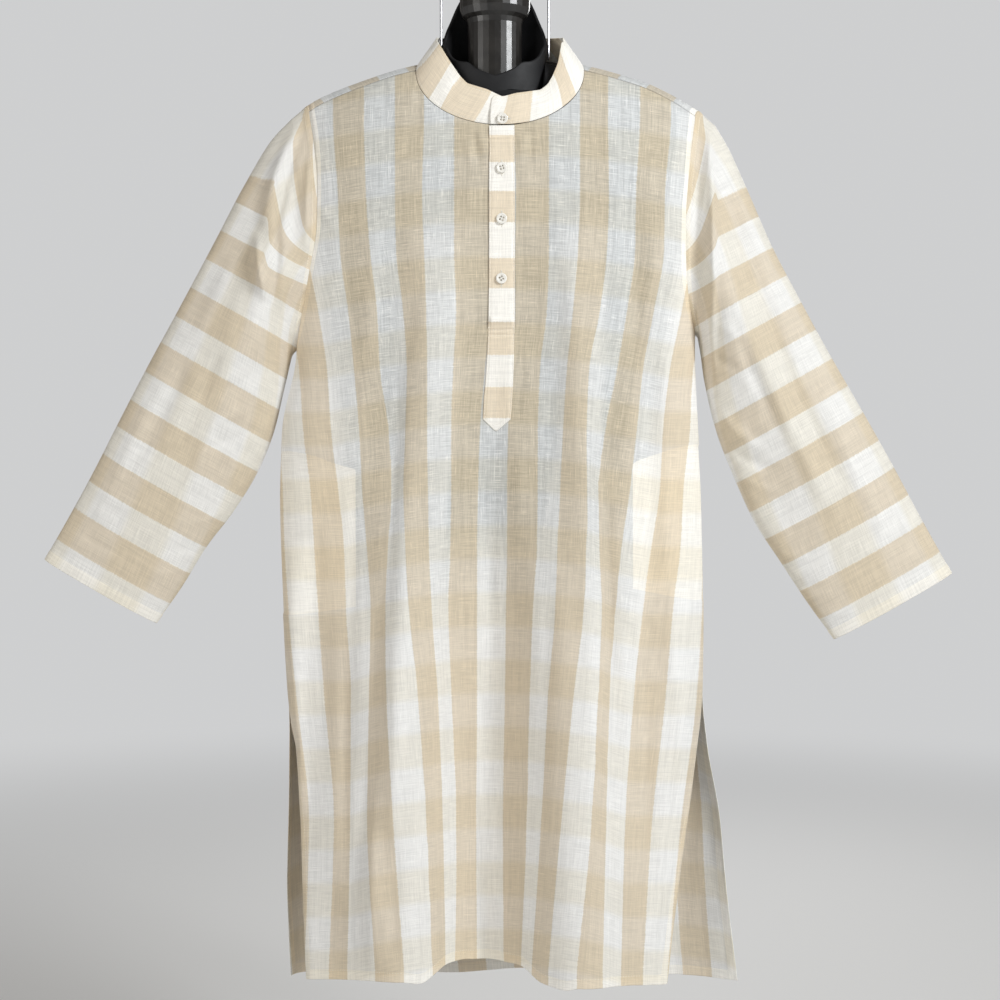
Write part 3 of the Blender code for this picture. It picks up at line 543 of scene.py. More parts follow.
def back_top():
    """x and way of the back's top edge: shoulder seam, back neckline, shoulder seam."""
    left = np.linspace(BACK_ARMHOLE["left"][0], -NECK_POINT_X, SHOULDER_COLUMNS + 1)
    right = np.linspace(NECK_POINT_X, BACK_ARMHOLE["right"][0], SHOULDER_COLUMNS + 1)
    turn = np.linspace(0, math.pi, BACK_NECK_COLUMNS + 1)
    neck_x = -NECK_POINT_X * np.cos(turn)
    seam_turn = math.acos(1 - (SEAM_DROP - SHOULDER_SEAM) / FRONT_ARCH)
    start_way = -BACK_UNROLL * seam_turn
    start_y = -FRONT_DEPTH * math.sin(seam_turn)
    neck_y = start_y + (NECK_BACK_Y - start_y) * np.sin(turn)
    x = np.concatenate([left[:-1], neck_x, right[1:]])
    way = np.full(len(x), start_way)
    inside = slice(SHOULDER_COLUMNS + 1, SHOULDER_COLUMNS + BACK_NECK_COLUMNS)
    way[inside] = way_of(neck_x, neck_y)[1:-1]
    return x, way

# %% [markdown]
# ## Creases
# Drape is more than the large folds of the solids. Each crease is one row: a start, a
# middle and an end in view units, its half width there, and its depth in millimetres,
# over 0 for a trough and under 0 for a ridge. Lengths, depths and spacing differ from row
# to row, because real cloth never folds evenly. Creases fade out towards both ends.

# %% Crease rows on the front
COLUMNS = "x0 y0 x1 y1 x2 y2 half depth"
FRONT_CREASES = table(
    COLUMNS,
    # long soft ridges from the chest to the skirt
    (452, 190, 446, 330, 437, 560, 19, -4.5), (424, 210, 424, 400, 418, 640, 30, -7),
    (410, 330, 405, 540, 392, 800, 13, -6), (588, 190, 584, 380, 582, 620, 20, -8),
    (590, 420, 594, 600, 592, 820, 12, -6), (366, 170, 372, 320, 356, 520, 15, -2.6),
    (626, 240, 626, 340, 628, 470, 8, -3), (668, 300, 668, 430, 664, 600, 9, -4),
    (330, 520, 336, 700, 330, 900, 12, -4), (624, 560, 622, 740, 622, 930, 9, -4.5),
    (684, 600, 686, 760, 680, 940, 15, -8), (374, 780, 372, 880, 374, 975, 8, -4),
    (422, 240, 427, 350, 421, 530, 14, -5), (491, 590, 487, 760, 500, 960, 16, -8),
    (560, 220, 573, 350, 570, 540, 14, -5), (676, 500, 674, 620, 690, 860, 13, -8),
    (293, 540, 292, 650, 294, 820, 18, -14), (350, 760, 347, 860, 350, 940, 10, -4),
    # troughs beside them
    (456, 550, 446, 700, 408, 940, 18, 9), (600, 500, 614, 650, 624, 850, 13, 7),
    (637, 180, 633, 300, 624, 430, 14, 8), (484, 330, 492, 470, 504, 640, 20, 5),
    (372, 500, 376, 650, 380, 760, 12, 2), (409, 300, 398, 430, 386, 640, 7, 3.2),
    (386, 560, 372, 720, 360, 930, 9, 4), (604, 400, 607, 530, 612, 690, 6, 4.5),
    (606, 640, 608, 780, 611, 930, 6, 3), (650, 300, 651, 420, 648, 580, 11, 3.5),
    (488, 480, 490, 640, 492, 900, 7, 3), (520, 240, 540, 400, 536, 600, 14, 1.6),
    (350, 640, 346, 780, 352, 950, 7, 4), (646, 620, 646, 760, 646, 930, 9, 5.5),
    # lesser folds of the skirt
    (423, 650, 426, 780, 433, 920, 7, -4), (441, 690, 446, 800, 450, 940, 5, 3),
    (462, 560, 470, 700, 484, 880, 8, -2), (520, 640, 524, 780, 522, 940, 8, -2.4),
    (548, 560, 546, 700, 540, 900, 6, 2), (395, 640, 392, 800, 386, 960, 6, -2),
    (300, 560, 306, 700, 312, 900, 6, 2),
    # puckers under the collar and beside the placket
    (482, 128, 484, 150, 485, 190, 2.4, -1.3), (475, 130, 477, 150, 478, 176, 2.2, 0.9),
    (466, 126, 470, 150, 476, 186, 3, -0.8), (521, 129, 521, 145, 523, 176, 2.4, -1.3),
    (528, 128, 529, 142, 532, 168, 2.4, 0.9), (484, 330, 480, 360, 478, 410, 3.5, 0.8),
    (517, 300, 520, 350, 519, 420, 3.5, 0.8),
    # puckers at the neck ends of the shoulder seams
    (409, 76, 412, 88, 410, 112, 3, -1.4), (402, 82, 404, 92, 400, 116, 3, 1.0),
    (415, 84, 420, 98, 426, 120, 3, 0.9), (590, 74, 590, 88, 592, 112, 3, -1.4),
    (598, 78, 600, 90, 606, 110, 3, 1.0), (610, 82, 612, 92, 618, 108, 3, -0.8),
    # drag lines from the armholes
    (309, 300, 325, 290, 348, 262, 4, -1.4), (311, 322, 330, 316, 362, 296, 4, 1.2),
    (318, 210, 330, 222, 342, 250, 5, -1.2), (684, 300, 668, 286, 652, 260, 4, -1.4),
    (686, 322, 668, 312, 640, 296, 4, 1.0), (688, 205, 678, 222, 668, 252, 5, -1.0),
    # creases left from folding and over the pockets
    (311, 407, 330, 428, 350, 446, 1.8, -0.8), (329, 416, 342, 426, 360, 438, 1.8, 0.7),
    (428, 626, 444, 652, 462, 672, 1.6, -0.9), (452, 664, 474, 680, 499, 701, 1.6, -0.9),
    (408, 613, 428, 612, 450, 612, 1.6, -0.6), (576, 668, 586, 671, 597, 669, 1.5, 0.8),
    (322, 607, 340, 612, 356, 606, 2.0, 0.8), (628, 604, 640, 640, 655, 690, 4, -1.8),
    (622, 612, 628, 650, 640, 700, 3.5, 1.6), (640, 596, 655, 622, 676, 650, 3, -0.9),
    (368, 826, 371, 880, 374, 968, 9, -4.5), (388, 826, 391, 880, 394, 968, 9, 4.5),
    # short drags beside the top of the placket
    (479, 130, 484, 143, 487, 160, 3.2, -2.2), (471, 131, 475, 148, 480, 172, 4.0, 2.4),
    (463, 134, 468, 150, 474, 168, 3.4, -1.2), (527, 132, 523, 146, 519, 164, 3.2, -2.0),
    (534, 134, 530, 150, 525, 170, 3.6, 1.8),
)

# %% Crease rows on the sleeves
LEFT_SLEEVE_CREASES = table(
    COLUMNS,
    (300, 122, 275, 177, 261, 236, 5, -8), (307, 122, 286, 180, 276, 240, 5, 8),
    (261, 230, 258, 260, 267, 300, 5, -8), (277, 234, 276, 262, 271, 302, 5, 8),
    (309, 128, 297, 190, 292, 262, 8, 4), (302, 122, 281, 178, 268, 240, 11, -9),
    (269, 234, 266, 262, 268, 300, 11, -8), (310, 150, 307, 190, 306, 250, 3.5, -2.5),
    (295, 132, 270, 190, 258, 252, 5, 2.4), (274, 314, 290, 284, 308, 262, 4.5, -5),
    (280, 336, 294, 304, 309, 286, 3.5, 3.6), (286, 344, 298, 320, 308, 306, 3, -2.4),
    (266, 326, 242, 352, 208, 366, 5, -3), (270, 350, 238, 384, 198, 398, 5, 2.8),
    (272, 386, 246, 410, 210, 426, 4, -2.4), (264, 420, 230, 440, 186, 448, 5, 2.2),
    (256, 250, 248, 300, 232, 352, 8, 2.4), (252, 450, 226, 476, 196, 486, 4, -1.5),
    (150, 392, 176, 404, 204, 404, 5, -1.2), (128, 440, 158, 452, 190, 450, 5, 1.2),
    (236, 500, 206, 520, 172, 524, 4, -1.4), (100, 490, 130, 506, 166, 504, 5, -1.2),
    (214, 530, 188, 548, 156, 548, 4, 1.3), (192, 566, 166, 574, 138, 570, 4, -1.2),
    (78, 530, 104, 548, 132, 552, 4, 1.1), (236, 250, 214, 300, 182, 366, 9, -4.5),
    (200, 320, 168, 400, 122, 476, 8, 4), (230, 390, 196, 470, 148, 552, 8, -4.5),
    (152, 400, 130, 450, 96, 520, 7, -3), (226, 330, 200, 400, 166, 470, 6, 3),
)
RIGHT_SLEEVE_CREASES = table(
    COLUMNS,
    (699, 125, 698, 190, 695, 290, 6, 7), (709, 128, 712, 200, 711, 330, 5, -8.5),
    (712, 290, 708, 330, 700, 384, 5, -3), (724, 160, 736, 220, 744, 290, 7, 2.2),
    (706, 330, 703, 360, 702, 402, 4, 4.5), (712, 300, 712, 345, 716, 402, 5, -4),
    (704, 392, 734, 430, 768, 452, 6, -3.6), (716, 430, 744, 458, 784, 470, 5, 3),
    (724, 462, 752, 484, 790, 494, 4, -1.6), (706, 344, 730, 366, 764, 374, 5, 1.8),
    (712, 320, 738, 336, 772, 336, 5, -1.6), (842, 392, 816, 408, 786, 410, 5, -1.2),
    (866, 440, 836, 458, 804, 460, 5, 1.2), (760, 540, 786, 556, 820, 556, 4, -1.6),
    (780, 572, 806, 586, 838, 586, 4, 1.4), (806, 606, 830, 614, 858, 610, 3.5, -1.2),
    (900, 506, 872, 526, 840, 530, 5, -1.2), (926, 548, 900, 566, 872, 572, 4, 1.1),
    (742, 200, 772, 290, 804, 372, 8, -4.5), (756, 340, 790, 430, 838, 520, 8, -4.5),
    (772, 330, 806, 410, 846, 490, 6, 3.5), (820, 380, 850, 460, 890, 540, 7, -3.5),
    (730, 300, 752, 370, 786, 440, 6, 3),
)
RIPPLE_HEIGHT = 0.11  # of each of the small waves that keep the cloth from being smooth
CREASE_STEPS = 14  # straight pieces of one crease's curve
TAPER = 0.7  # under 1, a crease keeps its depth for most of its length


def crease_sum(across, down, rows):
    """Sum of the creases, in millimetres, at places in the frame."""
    total = np.zeros(np.shape(across))
    steps = np.linspace(0, 1, CREASE_STEPS + 1)
    for x0, y0, x1, y1, x2, y2, half, depth in zip(*rows.values()):
        low_x, high_x = min(x0, x1, x2) - 3 * half, max(x0, x1, x2) + 3 * half
        low_y, high_y = min(y0, y1, y2) - 3 * half, max(y0, y1, y2) + 3 * half
        near = (across > low_x) & (across < high_x) & (down > low_y) & (down < high_y)
        if not near.any():
            continue
        px, py = across[near], down[near]
        best = np.full(px.shape, 1e9)
        at = np.zeros(px.shape)
        bend_x, bend_y = 2 * x1 - (x0 + x2) / 2, 2 * y1 - (y0 + y2) / 2
        line_x = (1 - steps) ** 2 * x0 + 2 * steps * (1 - steps) * bend_x + steps**2 * x2
        line_y = (1 - steps) ** 2 * y0 + 2 * steps * (1 - steps) * bend_y + steps**2 * y2
        for i in range(CREASE_STEPS):
            ax, ay = line_x[i], line_y[i]
            bx, by = line_x[i + 1] - ax, line_y[i + 1] - ay
            t = np.clip(((px - ax) * bx + (py - ay) * by) / (bx * bx + by * by), 0, 1)
            gap = (px - ax - t * bx) ** 2 + (py - ay - t * by) ** 2
            closer = gap < best
            best = np.where(closer, gap, best)
            at = np.where(closer, (i + t) / CREASE_STEPS, at)
        taper = np.sin(np.pi * np.clip(at, 0, 1)) ** TAPER
        total[near] += depth * taper * np.exp(-best / half**2)
    return total


def ripple(a, b, seed):
    """Faint unevenness that all hanging cloth has, about a third of a millimetre."""
    rng = np.random.default_rng(seed)
    total = np.zeros(np.shape(a))
    for _ in range(14):
        length = rng.uniform(16, 70)
        lean = rng.uniform(-0.5, 0.5)
        walk = a * math.cos(lean) + b * math.sin(lean) * 0.35
        total += np.sin(walk * 2 * math.pi / length + rng.uniform(0, 6.3))
    return total * RIPPLE_HEIGHT


crease_tables = (FRONT_CREASES, LEFT_SLEEVE_CREASES, RIGHT_SLEEVE_CREASES)
print("creases:", [len(rows["half"]) for rows in crease_tables])

# %% [markdown]
# ## Where the stripes run
# Each sheet carries one UV map in units of the pattern: U counts the strong stripes, V the
# faint bands across them. The strong stripes of the front are led through a table of their
# edges at several heights, so they narrow on the flanks of folds as the real ones do.

# %% Pattern rows of the front
STRIPE_EDGES = table(
    "down e0 e1 e2 e3 e4 e5 e6 e7 e8 e9 e10 e11 e12 e13 e14 e15 e16 e17",
    (60, 240, 268, 298, 333, 364, 395, 424, 455, 490, 514, 549, 580, 608, 640, 671, 702, 731, 760),
    (115, 240, 268, 299, 333, 364, 395, 424, 454, 490, 514, 549, 580, 608, 640, 671, 702, 731, 760),
    (195, 242, 272, 303, 338, 366, 395, 422, 454, 489, 516, 549, 580, 609, 636, 665, 695, 724, 754),
    (250, 248, 278, 307, 340, 370, 396, 424, 454, 489, 515, 549, 578, 607, 635, 664, 692, 720, 748),
    (310, 262, 288, 318, 348, 377, 403, 426, 456, 490, 515, 547, 573, 600, 627, 654, 682, 710, 737),
    (370, 274, 299, 327, 354, 380, 407, 427, 453, 485, 512, 540, 567, 589, 617, 643, 670, 693, 716),
    (430, 278, 303, 331, 359, 389, 405, 427, 451, 480, 508, 538, 563, 587, 605, 637, 663, 690, 712),
    (490, 282, 310, 338, 362, 392, 403, 428, 451, 478, 507, 538, 560, 588, 598, 630, 660, 684, 706),
    (550, 284, 314, 344, 367, 388, 405, 429, 450, 477, 507, 537, 557, 587, 599, 621, 651, 681, 704),
    (610, 288, 318, 346, 371, 385, 409, 432, 448, 477, 506, 533, 555, 584, 602, 615, 643, 673, 702),
    (693, 296, 324, 351, 369, 386, 418, 438, 451, 477, 505, 530, 548, 574, 599, 609, 634, 666, 697),
    (823, 309, 334, 350, 367, 393, 427, 443, 456, 476, 503, 527, 541, 561, 592, 606, 625, 652, 681),
    (970, 304, 329, 347, 375, 404, 433, 446, 455, 477, 504, 521, 531, 548, 577, 603, 621, 643, 668),
)
FIRST_STRIPE = -8.5  # U at the first edge; 0 is in the middle of the front
BAND = 33.66  # height of a band in view units
BAND_START = 222.0
BAND_SAG = 13.0  # how far the bands have dropped five stripes from the middle
STRIPE_MM = 35.4
BAND_MM = 38.6


def front_pattern(across, down):
    """U and V of the checks at places in the frame."""
    names = [name for name in STRIPE_EDGES if name != "down"]
    edges = np.stack([along(STRIPE_EDGES, "down", name, down) for name in names], -1)
    count = (across[..., None] > edges).sum(-1)
    i = np.clip(count - 1, 0, len(names) - 2)
    low = np.take_along_axis(edges, i[..., None], -1)[..., 0]
    high = np.take_along_axis(edges, i[..., None] + 1, -1)[..., 0]
    u = FIRST_STRIPE + i + (across - low) / (high - low)
    sag = BAND_SAG * np.clip(np.abs(u) / 5, 0, 1.3) ** 2
    return u, (down - sag - BAND_START) / BAND

# %% [markdown]
# ## Sheets of cloth
# Every piece is made by one small function from a grid of points: quads between the
# points, a UV map for the pattern, and a colour attribute of two marks. Its red is painted
# see-through shade: how much of the black form and of the shaded inside of the garment
# would show through the thin cloth. Its green is a signed distance into the cloth that is
# doubled, packed so that the edge is at 0.5, which keeps that edge sharp. A Solidify
# modifier gives the cloth the half millimetre of real cloth.

# %% A sheet from a grid
CLOTH = 0.6
# painted shade on cloth that hangs round the form, where the shaded inside of the garment would
# show through
PAINTED_SHADE_AROUND = 0.62  # shade of the form on cloth that hangs round it
SHADE_EDGE = 26  # width over which the shade fades at the form's sides
SHADE_EDGE_AROUND = 30
FORM_FOOT = -792  # height where the form ends behind the cloth
SHADE_FOOT = -900  # height where its shade ends
CLEAR_LIFT = 9  # lift at which a fold stands clear of the form


def painted_see_through_shade(points, lift=0.0):
    """Painted see-through shade: how much of the black form would show through, 1 where the cloth
    lies on it, less round it.
    """
    x, z = points[..., 0], points[..., 2]
    left = -along(FORM, "z", "half_left", z)
    right = along(FORM, "z", "half_right", z)
    side = ease((x - left) / SHADE_EDGE + 0.2) * ease((right - x) / SHADE_EDGE + 0.2)
    lying = side * ease((z - FORM_FOOT) / 120) * (1 - 0.75 * ease(lift / CLEAR_LIFT))
    around = ease((x - left) / SHADE_EDGE_AROUND + 1.1)
    around = around * ease((right - x) / SHADE_EDGE_AROUND + 1.1)
    return np.maximum(lying, PAINTED_SHADE_AROUND * around * ease((z - SHADE_FOOT) / 260))


def linked(name, data):
    """A new object in the scene with this mesh."""
    made = bpy.data.objects.new(name, data)
    bpy.context.scene.collection.objects.link(made)
    return made


def sheet(name, grid, uv, painted_shade_and_doubled, closed=False, skip=None, thick=CLOTH, out=None):
    """A mesh object from a grid of points. out says which way its face looks."""
    rows, columns = grid.shape[:2]
    wide = columns if closed else columns - 1
    r = np.repeat(np.arange(rows - 1), wide)
    c = np.tile(np.arange(wide), rows - 1)
    if skip is not None:
        keep = ~skip(r, c)
        r, c = r[keep], c[keep]
    k = (c + 1) % columns
    upper, lower = r * columns, (r + 1) * columns
    corners = np.stack([upper + c, upper + k, lower + k, lower + c], 1)
    k = np.minimum(c + 1, uv.shape[1] - 1)
    uv_corner = np.stack([uv[r, c], uv[r, k], uv[r + 1, k], uv[r + 1, c]], 1)
    points = grid.reshape(-1, 3)
    if out is not None:
        q = points[corners[len(corners) // 2]]
        face = np.cross(q[1] - q[0], q[3] - q[0])
        if np.dot(face, out) < 0:
            corners = corners[:, ::-1]
            uv_corner = uv_corner[:, ::-1]
    data = bpy.data.meshes.new(name)
    data.from_pydata(((points + SHIFT) * MM).tolist(), [], corners.tolist())
    layer = data.uv_layers.new(name="Pattern")
    layer.data.foreach_set("uv", uv_corner.reshape(-1).astype(np.float32))
    # red: painted see-through shade; green: reach into doubled cloth
    mark = data.color_attributes.new("Cover", "FLOAT_COLOR", "POINT")
    tint = np.ones((len(points), 4), np.float32)
    for i, share in enumerate(painted_shade_and_doubled):
        tint[:, i] = np.broadcast_to(share, grid.shape[:2]).reshape(-1)
    mark.data.foreach_set("color", tint.reshape(-1))
    data.validate()
    data.shade_smooth()
    made = linked(name, data)
    if thick:
        wall = made.modifiers.new("cloth", "SOLIDIFY")
        wall.thickness = thick * MM
        wall.offset = -1
    print(name, len(corners), "quads")
    return made


def unit(vectors):
    return vectors / np.maximum(np.linalg.norm(vectors, axis=-1, keepdims=True), 1e-9)


def grid_normal(grid):
    """Unit normals of a grid of points."""
    return unit(np.cross(np.gradient(grid, axis=1), np.gradient(grid, axis=0)))


def steps_along(points, axis=0):
    """Distances between neighbours along one axis of a line or grid of points."""
    return np.linalg.norm(np.diff(points, axis=axis), axis=-1)


def walked(steps, axis=0):
    """Running length, from 0 at the first point."""
    return np.insert(steps.cumsum(axis), 0, 0, axis=axis)

# %% [markdown]
# ## Front
# The front is one panel from shoulder seams and neckline to the hem, with a short slit
# behind the placket. Its rows run parallel to the armpit line, its columns spread from the
# neckline to the sides, so the grid follows the grain of the cloth.

# %% Front panel
SHOULDER_COLUMNS = 26
NECK_COLUMNS = 34
BACK_NECK_COLUMNS = 50
ARMHOLE_ROWS = 104
BACK_ARMHOLE_ROWS = 110
FAN = 0.9  # how far the columns have spread from the neckline at the armpits


def hem_crowded(rows, close_rows=18, reach=0.022):
    """Shares from the armpit line to the hem, with close rows in the turned hem."""
    loose = np.linspace(0, 1 - reach, rows - close_rows + 1)[1:]
    return np.concatenate([loose, np.linspace(1 - reach, 1, close_rows + 1)[1:]])


FRONT_SKIRT = hem_crowded(204)
BACK_SKIRT = hem_crowded(164)


def from_top(x, z):
    """Distance from the shoulder seams and the neckline."""
    top_x, top_z = front_top()
    return np.hypot(np.asarray(x)[..., None] - top_x, np.asarray(z)[..., None] - top_z).min(-1)


FADE_SIDE = 2.2  # creases fade out over the last part of the depth at the sides
FADE_TOP = 14  # and over this distance from the top edge


def relief_front(x, y, z):
    """Creases and ripple of the front, faded out at its seams."""
    across, down = in_frame(x, y, z)
    hold = ease(side_share(x, z, FRONT_EDGE) * FADE_SIDE) * ease(from_top(x, z) / FADE_TOP)
    return hold * (crease_sum(across, down, FRONT_CREASES) + ripple(x, z, 3))


# How far the hem's waves lift (over 0) or drop the edge, by x
HEM_WAVES = table(
    "x lift",
    (-225, -11.5), (-196, -7.0), (-112, 2.3), (-88, -3.0), (-70, 4.6), (-61, 8.6), (-40, 5.8),
    (-29, 3.0), (6, 5.8), (24, 9.4), (47, 0.0), (71, 0.0), (89, 4.6), (138, 4.6), (193, 1.7),
)


def panel_rows(top_x, armhole, arm_shares, edges, hem, skirt_shares):
    """Every row of a panel: its columns, its share and whether it is beside the armholes."""
    for share in arm_shares:
        left, right = (along(armhole, "share", side, share) for side in ("left", "right"))
        yield spread(top_x, left, right, FAN * ease(share * 3)), share, True
    arm = armpit_line(top_x)
    for share in skirt_shares:
        level = arm + (hem - arm) * share
        left, right = along(edges, "z", "left", level[0]), along(edges, "z", "right", level[-1])
        fan = FAN + (1 - FAN) * ease(share * COLUMN_EASE)
        yield spread(top_x, left, right, fan), share, False


def front_grid():
    """Grid of the front's outer face, with its creases and the waves of its hem."""
    top_x, top_z = front_top()
    shares = (np.arange(ARMHOLE_ROWS + 1) / ARMHOLE_ROWS) ** 1.1
    rows = []
    for x, share, beside_arm in panel_rows(
        top_x, FRONT_ARMHOLE, shares, FRONT_EDGE, HEM["front"][1], FRONT_SKIRT
    ):
        arm = armpit_line(x)
        if beside_arm:
            z = top_z + (arm - top_z) * share
        else:
            hem = along(HEM, "x", "front", x) + along(HEM_WAVES, "x", "lift", x)
            z = arm + (hem - arm) * share
        rows.append(np.stack([x, front_y(x, z), z], 1))
    plain = np.array(rows)
    fine = plain.copy()
    fine[..., 1] += relief_front(plain[..., 0], plain[..., 1], plain[..., 2])
    return fine


front = front_grid()
across, down = in_frame(front[..., 0], front[..., 1], front[..., 2])
front_u, front_v = front_pattern(across, down)
print("front grid", front.shape[:2])

# %% [markdown]
# ## Doubled cloth
# Cloth is doubled where it is turned under at hems, slits and seams, and over the pocket
# bags. Each is found as a signed distance, over 0 inside. The outer face rises a little
# there, with a groove along the stitches, and the material paints it lighter: painted light,
# as two layers of thin cloth give back more light than one.

# %% Turned edges and the front's sheet


def outline_reach(x, z, outline):
    """Signed distance to a pocket bag's outline, over 0 inside."""
    low, high = outline["x"][0], outline["x"][-1]
    held = np.clip(x, low, high)
    top = along(outline, "x", "top", held)
    bottom = along(outline, "x", "bottom", held)
    inner = high - x if low < 0 else x - low
    return np.minimum(inner, np.minimum(top - z, z - bottom))


def edge_distance(grid):
    """Distance of each point from the hem and from the two side edges, along the sheet."""
    from_hem = walked(steps_along(grid)[::-1])[::-1]
    step = steps_along(grid, 1)
    return from_hem, walked(step, 1), walked(step[:, ::-1], 1)[:, ::-1]


HEM_FOLD = 11.5
SLIT_FOLD = 10.5
SEAM_ALLOWANCE = 8.0
SLIT_TOP_LEFT = -958.0  # heights at which the side slits begin
SLIT_TOP_RIGHT = -922.0
REACH_RANGE = 40.0  # distance that the green of Cover spans
BAG_RISE = 0.9  # rise of the front over the pocket bags


def fold_reach(grid):
    """Signed distance into the cloth that is turned under at the hem, slits and side seams."""
    from_hem, from_left, from_right = edge_distance(grid)
    left_fold = np.where(grid[..., 2] < SLIT_TOP_LEFT, SLIT_FOLD, SEAM_ALLOWANCE)
    right_fold = np.where(grid[..., 2] < SLIT_TOP_RIGHT, SLIT_FOLD, SEAM_ALLOWANCE)
    sides = np.maximum(left_fold - from_left, right_fold - from_right)
    return np.maximum(HEM_FOLD - from_hem, sides)


def as_mark(reach):
    """A signed distance packed into 0 to 1, with the edge at 0.5."""
    return np.clip(0.5 + reach / REACH_RANGE, 0, 1)


def fold_step(reach, height=0.35):
    """Rise of the outer face over doubled cloth, with a stitch groove just inside its edge."""
    return height * ease(reach / 1.6 + 0.5) - 0.28 * np.exp(-(((reach - 1.0) / 0.8) ** 2))


front_lift = front_y(front[..., 0], front[..., 2]) - front[..., 1]
front_lift -= fold_depth(front[..., 0], front[..., 2], FRONT_FOLDS)
front_fold = fold_reach(front)
bags = np.maximum(
    outline_reach(front[..., 0], front[..., 2], LEFT_POCKET),
    outline_reach(front[..., 0], front[..., 2], RIGHT_POCKET),
)
front_double = as_mark(np.maximum(front_fold, bags))
raised = fold_step(front_fold) + BAG_RISE * ease(bags / 2.4 + 0.5)
lifted = front + grid_normal(front) * raised[..., None]
middle_column = SHOULDER_COLUMNS + NECK_COLUMNS
# the front's marks: painted see-through shade, less where folds lift clear of the form, and its
# doubled cloth
front_cloth = sheet(
    "front_cloth",
    lifted,
    np.stack([front_u, front_v], -1),
    (painted_see_through_shade(front, front_lift), front_double),
    skip=lambda r, c: (c == middle_column) & (r < ARMHOLE_ROWS),
    out=(0, -1, 0),
)
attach(front_cloth, "root")
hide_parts("front_panel")

# %% [markdown]
# ## Back
# The back reaches over the shoulders to the forward shoulder seam. Its pattern is counted
# along the cloth itself: across from the middle, down from the seam, both by the length
# of the woven threads.

# %% Back panel
BACK_CREASES = table(
    "x0 z0 x1 z1 x2 z2 half depth",
    (-150, -420, -162, -700, -168, -1100, 26, -5), (-112, -380, -108, -640, -112, -1000, 18, 4),
    (-30, -330, -34, -620, -28, -960, 26, 3), (22, -420, 34, -760, 40, -1150, 20, -4.5),
    (86, -360, 92, -700, 84, -1120, 18, 4), (142, -400, 150, -760, 158, -1180, 22, -4.5),
    (190, -560, 196, -860, 206, -1200, 14, 3.5), (-205, -560, -212, -860, -214, -1200, 14, 3.5),
    (-64, -700, -70, -950, -76, -1220, 12, -2.5), (60, -760, 66, -1000, 70, -1220, 12, -2.5),
    (-200, -470, -160, -430, -120, -410, 8, -1.6), (-206, -500, -160, -468, -116, -452, 7, 1.4),
    (196, -460, 158, -424, 120, -404, 8, -1.6), (204, -492, 160, -460, 118, -446, 7, 1.4),
    (-150, -250, -70, -262, 10, -256, 10, 0.9), (-40, -300, 40, -306, 120, -290, 12, -1.0),
    (-120, -880, -90, -896, -60, -890, 4, -0.8), (110, -930, 140, -944, 170, -940, 4, 0.8),
)


BACK_FADE_Z = -190  # above this the shoulders are smooth


def back_grid():
    """Grid of the back's outer face, with its creases."""
    top_x, top_way = back_top()
    shares = (np.arange(BACK_ARMHOLE_ROWS + 1) / BACK_ARMHOLE_ROWS) ** 1.2
    rows = []
    for x, share, beside_arm in panel_rows(
        top_x, BACK_ARMHOLE, shares, BACK_EDGE, HEM["back"][1], BACK_SKIRT
    ):
        arm = armpit_line(x)
        if beside_arm:
            way = top_way + (way_down(x, arm) - top_way) * share
        else:
            way = way_down(x, arm + (along(HEM, "x", "back", x) - arm) * share)
        rows.append(np.stack(back_point(x, way), 1))
    plain = np.array(rows)
    x, z = plain[..., 0], plain[..., 2]
    hold = ease(side_share(x, z, BACK_EDGE) * FADE_SIDE) * ease((BACK_FADE_Z - z) / 60)
    fine = plain.copy()
    fine[..., 1] -= hold * (crease_sum(x, z, BACK_CREASES) + ripple(x, z, 8))
    return fine


def lengths(grid, middle):
    """Length along each row from the middle column, and down each column from the top."""
    reach = walked(steps_along(grid, 1), 1)
    return reach - reach[:, middle : middle + 1], walked(steps_along(grid))


back = back_grid()
back_middle = back.shape[1] // 2
reach, fall = lengths(back, back_middle)
middle_fall = fall[:, back_middle : back_middle + 1]
fall = middle_fall + (fall - middle_fall) * 0.15
back_fold = fold_reach(back)
lifted = back - grid_normal(back) * fold_step(back_fold)[..., None]
# the back's marks: painted see-through shade and its doubled cloth
back_cloth = sheet(
    "back_cloth",
    lifted,
    np.stack([reach / STRIPE_MM + 0.55, fall / BAND_MM + 0.4], -1),
    (painted_see_through_shade(back), as_mark(back_fold)),
    out=(0, 1, 0),
)
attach(back_cloth, "root")
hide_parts("back_panel")

# %% [markdown]
# ## Sleeves
# A kurta sleeve is a plain tapered tube, sewn into a low armhole and hung flat. The cloth
# is cut the other way round here, so its strong stripes run across the arm. Each sleeve
# is a stack of rings, from the armhole seam to the cuff, with drag folds from the armpit.

# %% Armhole loops
RINGS = 176
SLEEVE_BANDS_LEFT = table(
    "s u",
    (-30, -1.0), (0, -0.15), (24, 0.5), (60, 1.5), (90.5, 2.5), (121, 3.5), (152, 4.5),
    (181.5, 5.5), (213, 6.5), (246, 7.5), (276, 8.5), (308, 9.5), (340, 10.5), (372, 11.5),
    (404, 12.5), (433, 13.5), (512, 14.5), (560, 15.8),
)
SLEEVE_BANDS_RIGHT = table(
    "s u",
    (-30, -1.0), (0, -0.15), (25, 0.5), (59, 1.5), (90, 2.5), (121, 3.5), (152, 4.5),
    (184, 5.5), (214.5, 6.5), (246, 7.5), (279, 8.5), (309.5, 9.5), (340, 10.5), (371, 11.5),
    (405, 12.5), (437, 13.5), (522, 14.5), (560, 15.6),
)


def armhole_loop(front, back, side):
    """Closed loop of seam points of one armhole: up the front from the armpit, down the back."""
    column = 0 if side < 0 else -1
    up = front[: ARMHOLE_ROWS + 1, column][::-1]
    down = back[: BACK_ARMHOLE_ROWS + 1, column]
    loop = np.concatenate([up[1:], down[:-1], [(up[0] + down[-1]) / 2]])
    return np.roll(loop, 1, axis=0)


